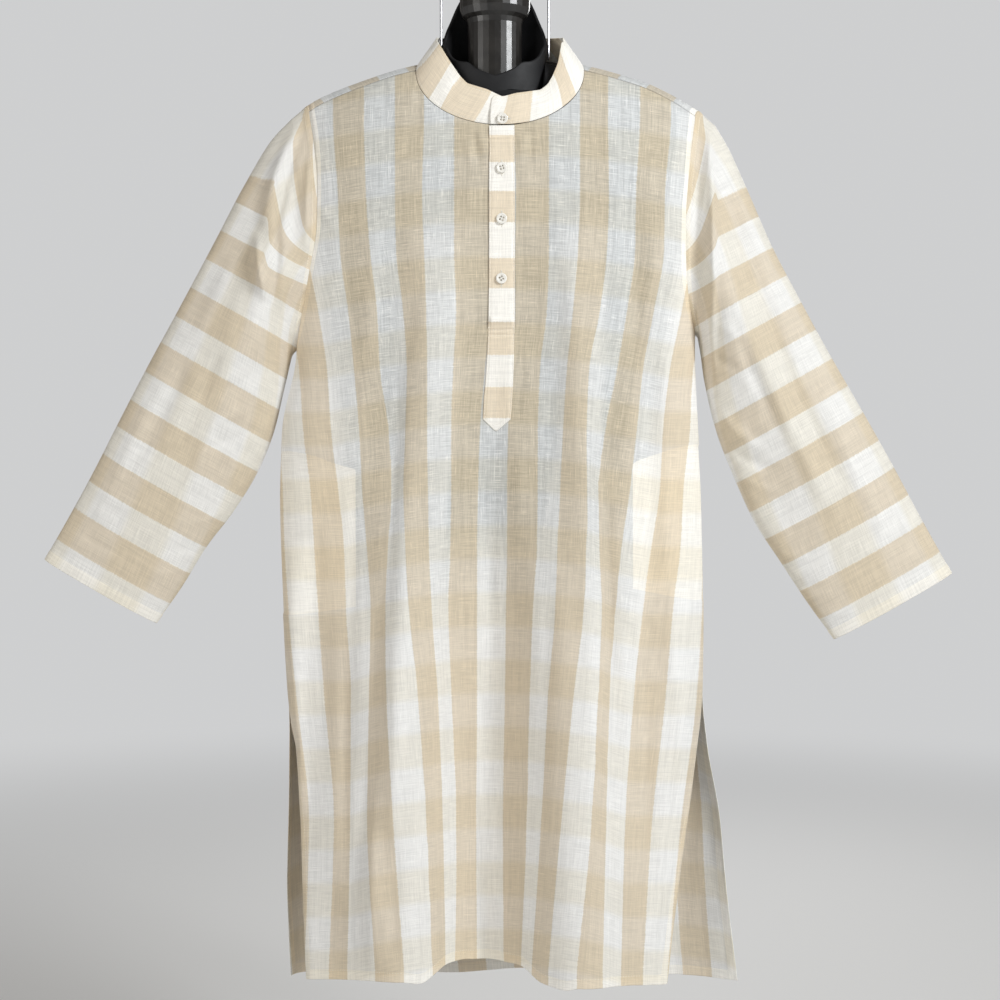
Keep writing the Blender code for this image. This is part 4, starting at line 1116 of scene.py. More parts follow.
def even_loop(loop, count):
    """The loop at evenly spaced points on each side of its top."""
    top = int(np.argmax(loop[:, 2]))
    closed = np.concatenate([loop, loop[:1]])

    def spaced(points, number):
        walk = walked(steps_along(points))
        at = np.linspace(0, walk[-1], number)
        return np.stack([np.interp(at, walk, points[:, k]) for k in range(3)], 1)

    rise = spaced(closed[: top + 1], count // 2 + 1)
    drop = spaced(closed[top:], count - count // 2 + 1)
    return np.concatenate([rise, drop[1:-1]])


print("stripes on a sleeve", int(SLEEVE_BANDS_LEFT["u"][-1]))

# %% [markdown]
# ## Rings of a sleeve
# Every ring is a blend from the armhole's loop to a flat oval, whose size comes from the
# table of sections. Drag folds and creases are added, with close rings in the turned cuff.

# %% Sleeve rings
TUCK = 1.2  # how far the sleeve's edge is tucked inside the armhole
OVAL_FROM = 5  # sections until a ring has lost the armhole's shape
CUFF_RINGS = 20  # close rings in the turned cuff
CUFF_REACH = 0.3  # its share of the last section
BEHIND = 0.8  # depth of the creases behind, beside those in front


def sleeve_rings(loop, sections, folds, creases, side):
    """Rings of a sleeve from the armhole to the cuff, and the turn of each point round it."""
    count = len(loop)
    top = int(np.argmax(loop[:, 2]))
    up, over = np.linspace(0, 0.5, top + 1), np.linspace(0.5, 1, count - top + 1)
    turn = np.concatenate([up, over[1:-1]])
    low, high = loop[0], loop[top]
    height = (loop[:, 2] - low[2]) / (high[2] - low[2])
    bow = loop[:, 0] - (low[0] + (high[0] - low[0]) * height)
    oval = (1 - np.cos(2 * math.pi * turn)) / 2
    bulge = np.sin(2 * math.pi * turn)
    seam = loop + np.array([side * 2 * GAP, 0, 0])
    seam[:, 0] -= side * TUCK * (1 + 0.6 * np.abs(bulge))
    seam[:, 1] += np.sign(bulge) * np.abs(bulge) ** 0.5 * TUCK
    numbered = dict(sections, n=np.arange(len(sections["fore"]), dtype=float))
    rings = []
    last = len(sections["fore"]) - 1
    turned_from = last - CUFF_REACH
    loose = np.linspace(-1, turned_from, RINGS - CUFF_RINGS)
    for j in np.concatenate([loose, np.linspace(turned_from, last, CUFF_RINGS + 1)[1:]]):
        n = max(j, 0.0)
        size = {key: float(along(numbered, "n", key, n)) for key in sections}
        blend = ease((n + 1) / OVAL_FROM)
        share = height + (oval - height) * blend
        depth = np.where(bulge > 0, -size["fore"] * bulge, -size["aft"] * bulge)
        y = loop[:, 1] + (depth - loop[:, 1]) * ease((n + 1) / 3)
        x = size["inner_x"] + (size["outer_x"] - size["inner_x"]) * share
        z = size["inner_z"] + (size["outer_z"] - size["inner_z"]) * share
        x = x + bow * (1 - blend) * SLEEVE_BOW
        for start, end, where, half, fold in zip(*folds.values()):
            grown = math.sin(math.pi * min(max((n - start) / (end - start), 0), 1))
            y = y + np.sign(bulge + 1e-9) * fold * grown * np.exp(-(((turn - where) / half) ** 2))
        ring = np.stack([x, y, z], 1)
        if j < 0:
            ring = seam + (ring - seam) * (j + 1)
        rings.append(ring)
    plain = np.array(rings)
    across, down = in_frame(plain[..., 0], plain[..., 1], plain[..., 2])
    facing = np.abs(bulge) ** 0.6 * np.sign(bulge)
    begin = ease(np.arange(RINGS)[:, None] / 9)
    fine = plain.copy()
    crease = crease_sum(across, down, creases)
    behind = crease_sum(across + 9, down - 16, creases) * BEHIND
    wave = ripple(across * 1.2, down * 1.2, 5 if side < 0 else 6)
    fine[..., 1] += begin * facing * (np.where(facing > 0, crease, behind) + wave)
    return fine, turn


print("rings in a sleeve", RINGS, "of them in the cuff", CUFF_RINGS)

# %% [markdown]
# ## Stripes of the sleeves
# The stripes run parallel to the cuff, so they are counted by the distance from it. At the
# head the cloth is folded beside the armhole, and the fold turns its stripes upright.

# %% Sleeves


def from_cuff(across, down, cuff):
    """Distance up the sleeve from the cuff, a line between two points, in view units."""
    (x0, y0), (x1, y1) = cuff
    length = math.hypot(x1 - x0, y1 - y0)
    return ((across - x0) * (y1 - y0) - (down - y0) * (x1 - x0)) / length


# Line of the deep fold beside each armhole, in view units
HEAD_FOLD_LEFT = table(
    "down x",
    (90, 312), (110, 306), (125, 302), (150, 290), (200, 277), (250, 272), (300, 273),
    (340, 279),
)
HEAD_FOLD_RIGHT = table(
    "down x",
    (90, 694), (110, 700), (125, 703), (150, 708), (200, 713), (250, 713), (300, 710),
    (340, 704),
)


HEAD_TOP, HEAD_FOOT = 96, 300  # where the fold starts and ends, in view units
HEAD_U, HEAD_LEVEL = 14.2, 150  # U on the fold's line at this level
UPRIGHT_WIDTH = 20  # view units to a stripe across the fold
UPRIGHT_LEAN = 58  # and down it


def turned_head(strong, across, down, turn, line, side, bend):
    """Stripes of the sleeve head, which the deep fold beside the armhole turns upright."""
    past = -side * (across - along(line, "down", "x", down))
    span = ease((down - HEAD_TOP) / 26) * ease((HEAD_FOOT - down) / 70)
    in_front = turn < 0.5
    near_line = np.exp(-np.abs(past) / 16) * ease((215 - down) / 60) * (past < 0)
    bent = strong - bend * near_line * in_front
    upright = HEAD_U + past / UPRIGHT_WIDTH - (down - HEAD_LEVEL) / UPRIGHT_LEAN
    return bent + (upright - bent) * span * ease((past + 1.5) / 5) * in_front


CUFF_FOLD = 13.0
CUFF_RISE = 0.42
LOOP_POINTS = 128
LEFT = (-1, LEFT_SLEEVE, LEFT_SLEEVE_FOLDS, LEFT_SLEEVE_CREASES, SLEEVE_BANDS_LEFT)
LEFT += (((45, 559), (157, 623)), HEAD_FOLD_LEFT, 0.3)
RIGHT = (1, RIGHT_SLEEVE, RIGHT_SLEEVE_FOLDS, RIGHT_SLEEVE_CREASES, SLEEVE_BANDS_RIGHT)
RIGHT += (((834, 639), (952, 573)), HEAD_FOLD_RIGHT, 0.0)
sleeves = {}
for word, sleeve in (("left", LEFT), ("right", RIGHT)):
    side, sections, folds, creases, bands, cuff, head_line, bend = sleeve
    loop = even_loop(armhole_loop(front, back, side), LOOP_POINTS)
    grid, turn = sleeve_rings(loop, sections, folds, creases, side)
    flat_x = 500 + grid[..., 0] / VIEW_UNIT
    flat_z = 500 - (grid[..., 2] - EYE_Z) / VIEW_UNIT
    strong = along(bands, "s", "u", from_cuff(flat_x, flat_z, cuff))
    strong = turned_head(strong, flat_x, flat_z, turn[None], head_line, side, bend)
    girth = np.linalg.norm(grid - np.roll(grid, 1, axis=1), axis=2).sum(1, keepdims=True)
    weak = (turn[None] - 0.5) * girth / BAND_MM
    strong = np.concatenate([strong, strong[:, :1]], 1)
    weak = np.concatenate([weak, -weak[:, :1]], 1)
    step = steps_along(grid)
    to_cuff, from_seam = walked(step[::-1])[::-1], walked(step)
    fold = np.maximum(CUFF_FOLD - to_cuff, SEAM_ALLOWANCE - from_seam)
    lifted = grid + grid_normal(grid) * (fold_step(fold, CUFF_RISE) * -side)[..., None]
    made = sheet(
        f"sleeve_{word}_cloth",
        lifted,
        np.stack([strong, weak], -1),
        (0 * fold, as_mark(fold)),
        closed=True,
    )
    quad = made.data.polygons[len(made.data.polygons) // 2 + LOOP_POINTS // 4]
    mean = np.mean(grid[RINGS // 2], axis=0) + SHIFT
    if np.dot(np.array(quad.center) / MM - mean, quad.normal) < 0:
        made.data.flip_normals()
    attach(made, "root")
    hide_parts(f"sleeve_{word}")
    sleeves[word] = (made, grid, fold)

# %% [markdown]
# ## Pieces that lie on the front
# The placket and the pocket bags follow the front wherever it goes, creases included.
# One function gives the front's outer face at any x and z and lays a grid on it.

# %% On the front


def front_at(x, z):
    """Depth of the front's outer face with its creases."""
    y = front_y(x, z)
    return y + relief_front(x, y, z)


def on_front(x, z, lift):
    """Points over the front's outer face, moved out by lift along its normal."""
    step = 1.0
    slope_x = (front_at(x + step, z) - front_at(x - step, z)) / (2 * step)
    slope_z = (front_at(x, z + step) - front_at(x, z - step)) / (2 * step)
    out = np.stack([slope_x, -np.ones_like(slope_x), slope_z], -1)
    return np.stack([x, front_at(x, z), z], -1) + unit(out) * np.asarray(lift)[..., None]


def plain_marks(grid):
    """Marks of a piece that is doubled all over, with no painted see-through shade."""
    return np.zeros(grid.shape[:2]), np.ones(grid.shape[:2])

# %% [markdown]
# ## Placket
# The placket is a folded strip sewn over the front slit. Its stripes run across it,
# because the strip is cut lengthwise from the check. Two stitch lines hold its long
# edges, and it ends in a point under two lines of bar stitching.

# %% Placket
PLACKET_ROWS = 340
PLACKET_SHARES = (0, 0.02, 0.04, 0.06, 0.08, 0.11, 0.15, 0.21, 0.3, 0.4, 0.5)
PLACKET_SHARES += tuple(1 - s for s in PLACKET_SHARES[-2::-1])
PLACKET_COLUMNS = len(PLACKET_SHARES)
PLACKET_TUCK = 3.2  # how far its top end goes under the collar
BAR_LINES = (-487.0, -481.0)
BAR_PUFF = (-471.0, 4.6, 3.2)  # height in z, half width and rise of the loose cloth above it
EDGE_LIFT = 0.75  # at the folded edge, and again as much inside it
EDGE_INSET, EDGE_GROOVE = 2.0, 0.5  # the stitch lines along the edges
BAR_GROOVE = 1.1
BOX_LIFT = 0.55  # of the doubled cloth above the bar
BOX_LINE = -264.7
PLACKET_BANDS = table(
    "down u",
    (124, 0.2), (135, 0.5), (162, 1.5), (191, 2.5), (222, 3.5), (258, 4.5), (288, 5.5),
    (322, 6.5), (355, 7.5), (387, 8.5), (418, 9.5), (436, 10.1),
)
TIP_SHARE = 0.08  # of the length, where the point is
FOOT_EDGE = 297.0  # its length, by which the rolled edge goes round its foot


def placket_points():
    """x, z and lift of the placket, with its rolled edges, stitched puckers and bar."""
    s = np.linspace(0, 1, PLACKET_ROWS)[:, None]
    t = np.array(PLACKET_SHARES)[None]
    start = PLACKET["z"][0] + PLACKET_TUCK
    level = start + (PLACKET["z"][-1] - start) * s
    left = along(PLACKET, "z", "left", level)
    right = along(PLACKET, "z", "right", level)
    x = left + (right - left) * t
    tip = (PLACKET_TIP["x"][0] - PLACKET["left"][-1]) / (PLACKET["right"][-1] - PLACKET["left"][-1])
    drop = PLACKET_TIP["z"][0] - PLACKET["z"][-1]
    slant = np.where(t < tip, t / tip, (1 - t) / (1 - tip))
    z = level + drop * slant * np.clip((s - 1 + TIP_SHARE) / TIP_SHARE, 0, 1)
    edge = np.minimum(t, 1 - t) * (right - left)
    edge = np.minimum(edge, (1 - s) * FOOT_EDGE)
    pucker = np.sin(z / 1.05 + 2 * np.sin(z / 9)) * 0.08 + np.sin(z / 2.3) * 0.07
    lift = EDGE_LIFT * (2 - np.exp(-edge / 0.8))
    lift = lift + (pucker - EDGE_GROOVE) * np.exp(-(((edge - EDGE_INSET) / 0.9) ** 2))
    lift = lift + BOX_LIFT * ease((z - BAR_LINES[1]) / 1.8 + 0.5)
    for line in (*BAR_LINES, BOX_LINE):
        lift = lift - BAR_GROOVE * np.exp(-(((z - line) / 1.3) ** 2))
    middle, half, height = BAR_PUFF
    lift = lift + height * np.exp(-(((z - middle) / half) ** 2)) * np.clip(edge / 3, 0, 1)
    return x, z, lift


x, z, lift = placket_points()
placket = on_front(x, z, lift)
down = in_frame(placket[..., 0], placket[..., 1], placket[..., 2])[1]
placket_uv = np.stack([along(PLACKET_BANDS, "down", "u", down), 0.5 + (x - 2) / BAND_MM], -1)
placket_cloth = sheet(
    "placket_cloth", placket, placket_uv, plain_marks(placket), thick=0.5, out=(0, -1, 0)
)
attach(placket_cloth, "root")
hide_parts("placket")

z = np.linspace(PLACKET_UNDER["z"][0], PLACKET_UNDER["z"][-1], 60)[:, None]
left = along(PLACKET_UNDER, "z", "left", z)
right = along(PLACKET_UNDER, "z", "right", z)
x = left + (right - left) * np.linspace(0, 1, 8)[None]
z = np.repeat(z, 8, axis=1)
under = on_front(x, z, np.full(x.shape, -WALL - GAP - PLACKET_LIFT))
under_uv = np.stack([z / STRIPE_MM, x / BAND_MM], -1)
under_cloth = sheet("placket_under_cloth", under, under_uv, plain_marks(under), out=(0, -1, 0))
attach(under_cloth, "root")
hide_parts("placket_under")

# %% [markdown]
# ## Pocket bags
# Each side seam has a pocket: a bag of plain white cloth that hangs inside the front.
# Nothing of it is seen directly, but its outline shows, because the cloth is doubled
# there. The bag is a thin sheet close behind the front.

# %% Pocket bags


def pocket_points(outline, rows=56, columns=26):
    """Grid of a pocket bag, close behind the front."""
    x = np.linspace(outline["x"][0], outline["x"][-1], columns)
    top = along(outline, "x", "top", x)
    bottom = along(outline, "x", "bottom", x)
    z = top[None] + (bottom - top)[None] * np.linspace(0, 1, rows)[:, None]
    x = np.repeat(x[None], rows, axis=0)
    return on_front(x, z, np.full(x.shape, -WALL - GAP))


pockets = []
for word, outline in (("left", LEFT_POCKET), ("right", RIGHT_POCKET)):
    grid = pocket_points(outline)
    uv = np.stack([grid[..., 0] / STRIPE_MM, grid[..., 2] / BAND_MM], -1)
    bag = sheet(f"pocket_bag_{word}_cloth", grid, uv, plain_marks(grid), out=(0, -1, 0))
    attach(bag, "root")
    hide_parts(f"pocket_bag_{word}")
    pockets.append(bag)

# %% [markdown]
# ## Collar
# The band collar is a stiffened strip, curved to stand up round the neck. Its ends lap
# over the placket, with the button. The over end has a rounded top corner.

# %% Collar stand
COLLAR_SHARES = np.array(
    [0, 0.02, 0.05, 0.09, 0.15, 0.24, 0.34, 0.44, 0.54, 0.64, 0.74, 0.83, 0.9, 0.95, 0.98, 1.0]
)
LAP_POINTS = 14
COLLAR_HEIGHT = 36.0
COLLAR_CREASES = table(
    COLUMNS,
    (448, 103, 453, 90, 460, 74, 3.2, 1.0), (440, 96, 446, 84, 452, 70, 4.5, -0.8),
    (455, 106, 462, 95, 470, 82, 5.0, -0.7), (536, 126, 531, 108, 520, 92, 5.0, 0.5),
    (528, 126, 523, 108, 513, 93, 4.0, -0.4), (566, 112, 562, 98, 551, 80, 5.0, 0.6),
    (574, 96, 568, 82, 560, 62, 5.0, -0.5), (478, 122, 482, 108, 486, 92, 6.0, -0.4),
    (427, 88, 434, 72, 441, 52, 5.0, 0.4),
)


def carried(points, end_x, lift, rise=0.0):
    """The strip's end carried on past the middle of the neck."""
    start = points[0].copy()
    step = np.linspace(0, 1, LAP_POINTS + 1)[1:]
    more = np.repeat(start[None], LAP_POINTS, axis=0)
    more[:, 0] = start[0] + (end_x - start[0]) * step
    more[:, 1] = start[1] + lift * ease(step * 1.4)
    more[:, 2] = start[2] + rise
    return np.concatenate([more[::-1], points])


def lapped(low, high):
    """The ends carried past the middle, the under end inside the over end."""
    low = carried(low, UNDER_END_X, UNDER_LIFT, GAP)
    high = carried(high, UNDER_END_X, UNDER_LIFT)
    reach = np.clip(1 - (low[:, 0] - CENTRE_X) / LAP_REACH, 0, 1)
    over = np.arange(len(low)) > len(low) / 2
    for points in (low, high):
        points[:, 1] -= np.where(over, END_LAP * ease(reach * 1.5), 0)
    low = carried(low[::-1], OVER_END_X, 0.0)[::-1]
    high = carried(high[::-1], OVER_END_X, 0.0)[::-1]
    return low, high


def collar_lines():
    """Seam line and top edge of the collar, from the under end round to the over end."""
    first = SHOULDER_COLUMNS
    centre = first + NECK_COLUMNS
    turn = np.linspace(math.pi / 2, 0, NECK_COLUMNS + 1)
    back_turn = np.linspace(0, math.pi, BACK_NECK_COLUMNS + 1)[1:-1]
    front_low = front[0, first : centre + 1][::-1]
    right_low = front[0, centre + 1 : centre + NECK_COLUMNS + 2]
    back_low = back[0, first + 1 : first + BACK_NECK_COLUMNS]
    low = np.concatenate([front_low, back_low, right_low[::-1]])

    def front_high(angle, sign):
        side = np.sin(angle)
        drop = np.cos(angle)
        x = CENTRE_X * drop + sign * COLLAR_TOP_X * side
        y = COLLAR_TOP_SIDE_Y + (COLLAR_TOP_FRONT_Y - COLLAR_TOP_SIDE_Y) * drop**0.7
        z = COLLAR_TOP_SIDE_Z + (COLLAR_TOP_FRONT_Z - COLLAR_TOP_SIDE_Z) * drop
        return np.stack([x, y, z], 1)

    rise = np.sin(back_turn)
    back_high = np.stack(
        [
            -COLLAR_TOP_X * np.cos(back_turn),
            COLLAR_TOP_SIDE_Y + (COLLAR_TOP_BACK_Y - COLLAR_TOP_SIDE_Y) * rise,
            COLLAR_TOP_SIDE_Z + (COLLAR_TOP_BACK_Z - COLLAR_TOP_SIDE_Z) * rise,
        ],
        1,
    )
    high = np.concatenate([front_high(turn[::-1], -1), back_high, front_high(turn, 1)])
    return lapped(low + np.array([0, 0, COLLAR_SEAT]), high)


print("points in an end of the collar", LAP_POINTS)

# %% [markdown]
# ## Rows of the collar
# The top edge is led through a table, because a worn collar is never level. Both long
# edges are rolled over the stiffening, and a few shallow dents break up its roundness.

# %% Collar rows
CORNER_DROP = 0.42  # of the height, at the rounded corner of the over end
COLLAR_TOP_LINE = table(
    "across down",
    (437, 41), (441, 47), (449, 60), (460, 76), (467, 83), (487, 89), (502.5, 96.4), (515, 93),
    (541, 89.5), (548, 84), (553, 75), (558, 63), (562, 42),
)


def collar_points():
    """Grid of the collar from its seam to its top edge, which follows COLLAR_TOP_LINE."""
    low, high = collar_lines()
    across, down = in_frame(high[:, 0], high[:, 1], high[:, 2])
    aimed = np.interp(across, COLLAR_TOP_LINE["across"], COLLAR_TOP_LINE["down"])
    front_half = ease((-high[:, 1] - 17) / 5)
    lower = (aimed - down) * VIEW_UNIT * (EYE_DISTANCE + high[:, 1]) / EYE_DISTANCE
    high[:, 2] -= lower * front_half
    past = np.arange(len(low))
    over_end = np.clip((past - (len(low) - 1 - LAP_POINTS)) / LAP_POINTS, 0, 1)
    rounding = np.sqrt(1 - np.clip((over_end - 0.1) / 0.9, 0, 1) ** 2)
    corner = 1 - CORNER_DROP * (1 - rounding)
    rows = []
    for share in COLLAR_SHARES:
        along_height = (share * corner)[:, None]
        bow = np.array([0, -COLLAR_BOW, 0]) * math.sin(math.pi * share)
        rows.append(low + (high - low) * along_height + bow)
    return np.array(rows)


collar = collar_points()
across, down = in_frame(collar[..., 0], collar[..., 1], collar[..., 2])
facing_view = collar[..., 1] < 0
crease = crease_sum(across, down, COLLAR_CREASES)
collar_out = unit(np.stack([collar[..., 0] + 6, collar[..., 1] + 8, 0 * across], -1))
collar = collar - collar_out * np.where(facing_view, crease, 0)[..., None]
edge = np.minimum(COLLAR_SHARES, 1 - COLLAR_SHARES)[:, None] * COLLAR_HEIGHT
rolled = -0.35 * np.exp(-edge / 0.9) - 0.2 * np.exp(-((edge - 2.2) ** 2))
collar = collar + collar_out * rolled[..., None]
print("collar grid", collar.shape[:2])

# %% [markdown]
# ## Stripes of the collar
# The band is cut across the stripes, which stand upright in it. They are counted from
# both ends, and meet at the back of the neck.

# %% Collar
middle_row = collar[len(collar) // 2]
row_across, row_down = in_frame(*middle_row.T)
COLLAR_LEFT_BANDS = table(
    "s u", (-40, -0.4), (0, 0.0), (17, 0.5), (55.6, 1.5), (68.9, 2.5), (93.6, 3.5), (124, 4.5)
)
COLLAR_RIGHT_BANDS = table(
    "s u", (-40, -0.6), (0, 0.4), (3, 0.5), (29.6, 1.5), (62.6, 2.5), (80, 3.5), (112, 4.5)
)
HIDDEN_Y = -18.0  # behind this the band is out of sight
COLLAR_UNIT = 1.15  # millimetres to a view unit there
COLLAR_STRIPE = 31.0  # view units to a stripe
COLLAR_LEAN = 0.32  # stripes by which the top edge is ahead of the seam


def collar_count():
    """U along the collar: counted in the view where it is seen, by length round the back."""
    step = np.hypot(np.diff(row_across), np.diff(row_down))
    hidden = (middle_row[:-1, 1] + middle_row[1:, 1]) / 2 > HIDDEN_Y
    step[hidden] = steps_along(middle_row)[hidden] / COLLAR_UNIT
    walk = walked(step)
    count = len(middle_row)
    ends = []
    for away, bands in (
        (walk - walk[LAP_POINTS], COLLAR_LEFT_BANDS),
        (walk[count - 1 - LAP_POINTS] - walk, COLLAR_RIGHT_BANDS),
    ):
        last_s, last_u = bands["s"][-1], bands["u"][-1]
        u = np.interp(away, bands["s"], bands["u"])
        ends.append(np.where(away > last_s, last_u + (away - last_s) / COLLAR_STRIPE, u))
    return np.where(np.arange(count) <= count // 2, *ends)


collar_u = np.repeat(collar_count()[None], len(COLLAR_SHARES), axis=0)
lean = (COLLAR_SHARES[:, None] - 0.55) * COLLAR_LEAN
from_start = np.arange(collar.shape[1])[None]
collar_u = collar_u + np.where(from_start < collar.shape[1] // 2, lean, -lean * 1.2)
collar_v = np.repeat((COLLAR_SHARES * 0.95 + 0.1)[:, None], collar.shape[1], axis=1)
collar_cloth = sheet(
    "collar_cloth", collar, np.stack([collar_u, collar_v], -1), plain_marks(collar), thick=1.1
)
side_face = collar_cloth.data.polygons[len(collar_cloth.data.polygons) // 4]
outward = np.array(side_face.center) / MM - np.array([0, -2, side_face.center[2] / MM])
if np.dot(outward, side_face.normal) < 0:
    collar_cloth.data.flip_normals()
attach(collar_cloth, "root")
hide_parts("collar")
check_pieces = [front_cloth, back_cloth, placket_cloth, under_cloth, collar_cloth]
check_pieces += [made for made, *_ in sleeves.values()]
plain_pieces = pockets

# %% [markdown]
# ## Stitching
# Hems, slits, cuffs, the collar and the placket are held by lines of small machine
# stitches. Each stitch is a low ridge of thread that dives into the cloth at both ends.
# All stitches of one line are one mesh, laid on the sheet by looking up its nearest face.

# %% Stitch lines
STITCH = 2.5  # length, then the gap to the next
STITCH_GAP = 0.7
THREAD_WIDTH = 0.5
THREAD_RISE = 0.22
THREAD_DIP = 0.1
STITCH_INSET = 1.0  # from the inner edge of a turned hem
BAR_DOWN = (134, 329.5, 334.8)  # lines of stitches across the placket, in view units
STITCH_FACES = ((0, 3, 2), (0, 4, 3), (1, 6, 7), (1, 5, 6), (2, 3, 6, 5), (3, 4, 7, 6))
stitch_pieces = []


def line_across(grid, reach, value, axis):
    """Points where a distance field has a value, one for each row or column."""
    if axis == 0:
        grid, reach = grid.transpose(1, 0, 2), reach.T
    found = []
    for points, distance in zip(grid, reach):
        change = np.nonzero((distance[:-1] - value) * (distance[1:] - value) <= 0)[0]
        if not len(change):
            continue
        i = change[0]
        share = (value - distance[i]) / (distance[i + 1] - distance[i] + 1e-12)
        found.append(points[i] + (points[i + 1] - points[i]) * share)
    return np.array(found)


def faces_of(made):
    """A look-up tree of an object's faces, in millimetres."""
    spots = [tuple(made.matrix_world @ v.co / MM) for v in made.data.vertices]
    return BVHTree.FromPolygons(spots, [tuple(p.vertices) for p in made.data.polygons])


def stitches(name, target, lines):
    """One mesh of stitches along lines of points, laid on the target's outer face."""
    tree = faces_of(target)
    points, faces = [], []
    for line in lines:
        line = np.asarray(line) + SHIFT
        walk = walked(steps_along(line))
        for at in np.arange(0.5, walk[-1] - STITCH, STITCH + STITCH_GAP):
            ends = [[np.interp(w, walk, line[:, k]) for k in range(3)] for w in (at, at + STITCH)]
            laid = [tree.find_nearest(Vector(end)) for end in ends]
            (start, up, _, _), (end, _, _, _) = laid
            ahead = end - start
            if ahead.length < 0.5:
                continue
            side = ahead.cross(up).normalized() * THREAD_WIDTH / 2
            first = len(points)
            points += [start - up * THREAD_DIP, end - up * THREAD_DIP]
            for share in (0.28, 0.72):
                centre = start + ahead * share
                points += [centre - side, centre + up * THREAD_RISE, centre + side]
            faces += [tuple(first + k for k in face) for face in STITCH_FACES]
    data = bpy.data.meshes.new(name)
    data.from_pydata([tuple(Vector(p) * MM) for p in points], [], faces)
    data.shade_smooth()
    made = linked(name, data)
    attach(made, "root")
    stitch_pieces.append(made)
    print(name, len(faces) // len(STITCH_FACES), "stitches")


def low_part(points, level):
    """The points under a level."""
    return points[points[:, 2] < level]


for word, panel, cloth in (("front", front, front_cloth), ("back", back, back_cloth)):
    from_hem, from_left, from_right = edge_distance(panel)
    panel_lines = [
        line_across(panel, from_hem, HEM_FOLD - STITCH_INSET, 0),
        low_part(line_across(panel, from_left, SLIT_FOLD - STITCH_INSET, 1), SLIT_TOP_LEFT),
        low_part(line_across(panel, from_right, SLIT_FOLD - STITCH_INSET, 1), SLIT_TOP_RIGHT),
    ]
    stitches(f"{word}_stitches", cloth, panel_lines)
for word, (made, grid, cuff_reach) in sleeves.items():
    ring = line_across(grid, cuff_reach, STITCH_INSET, 0)
    stitches(f"cuff_stitches_{word}", made, [np.concatenate([ring, ring[:1]])])

placket_lines = [placket[2:-4, column] for column in (2, PLACKET_COLUMNS - 3)]
middle_down = in_frame(*placket[:, PLACKET_COLUMNS // 2 + 2].T)[1]
bar_rows = [int(np.argmin(np.abs(middle_down - level))) for level in BAR_DOWN]
placket_lines += [placket[row, 2 : PLACKET_COLUMNS - 2] for row in bar_rows]
placket_lines.append(placket[-6, 2 : PLACKET_COLUMNS - 2])
stitches("placket_stitches", placket_cloth, placket_lines)

stitches("collar_stitches", collar_cloth, [collar[2], collar[-4]])

# %% [markdown]
# ## Buttons
# Four small off-white shirt buttons with four holes, sewn with two bars of thread. The
# disc is turned from a profile: a raised rim and a dished middle. The holes are cut with
# a Boolean, and the thread goes over them. The buttonholes under them are narrow rings of
# close stitches, upright on the placket and level on the collar.

# %% Button meshes
BUTTON_PROFILE = (
    (0.0, 1.85), (3.3, 1.85), (4.0, 1.92), (4.7, 2.3), (5.4, 2.36),
    (6.0, 2.1), (6.3, 1.5), (6.2, 0.7), (5.6, 0.15), (0.0, 0.0),
)
HOLE_SPACE = 1.5  # from the middle of the disc, both ways
HOLE_RADIUS = 1.06
HOLE_STITCHES = 64  # round one buttonhole
BUTTON_RISE = 0.35  # off the cloth, as its thread holds it
HOLE_LIFT = 0.03
THREAD_ROLL = 0.15  # radius of the sewing thread


def turned(profile, sides):
    """Mesh points and faces of a profile turned round z."""
    work = bmesh.new()
    made = [work.verts.new((r, 0, z)) for r, z in profile]
    edges = [work.edges.new(pair) for pair in zip(made[:-1], made[1:])]
    around = dict(axis=(0, 0, 1), cent=(0, 0, 0), steps=sides, angle=2 * math.pi)
    bmesh.ops.spin(work, geom=made + edges, **around)
    bmesh.ops.remove_doubles(work, verts=work.verts, dist=0.0005)
    bmesh.ops.recalc_face_normals(work, faces=work.faces)
    return work


def finished(work, name):
    """The bmesh as a mesh."""
    data = bpy.data.meshes.new(name)
    work.to_mesh(data)
    work.free()
    return data


def button_mesh():
    """A disc turned from its profile, with four holes cut through it."""
    disc = linked("disc", finished(turned(BUTTON_PROFILE, 40), "disc"))
    drill = bmesh.new()
    for a in (-1, 1):
        for b in (-1, 1):
            spot = Matrix.Translation((a * HOLE_SPACE, b * HOLE_SPACE, 1))
            size = dict(radius1=HOLE_RADIUS, radius2=HOLE_RADIUS, depth=8)
            bmesh.ops.create_cone(drill, cap_ends=True, segments=14, matrix=spot, **size)
    cutter = linked("drill", finished(drill, "drill"))
    cut = disc.modifiers.new("holes", "BOOLEAN")
    cut.object = cutter
    cut.operation = "DIFFERENCE"
    cut.solver = "EXACT"
    graph = bpy.context.evaluated_depsgraph_get()
    data = bpy.data.meshes.new_from_object(disc.evaluated_get(graph))
    data.name = "button_disc"
    bpy.data.objects.remove(disc)
    bpy.data.objects.remove(cutter)
    return data


def thread_bars():
    """Two bars of thread over the holes, each of two thin bent rolls."""
    work = bmesh.new()
    for side in (-1, 1):
        for shift in (-0.14, 0.14):
            foot, bend = (HOLE_SPACE + 0.3, 0.9), (HOLE_SPACE, 1.75)
            path = [(-foot[0], foot[1]), (-bend[0], bend[1]), (0, 2.05), bend, foot]
            rings = []
            for a, z in path:
                ring = []
                for k in range(6):
                    angle = k * math.pi / 3
                    across = side * HOLE_SPACE + shift + THREAD_ROLL * math.cos(angle)
                    ring.append(work.verts.new((a, across, z + THREAD_ROLL * math.sin(angle))))
                rings.append(ring)
            for one, two in zip(rings[:-1], rings[1:]):
                for k in range(6):
                    work.faces.new((one[k], one[(k + 1) % 6], two[(k + 1) % 6], two[k]))
    return finished(work, "thread_bars")


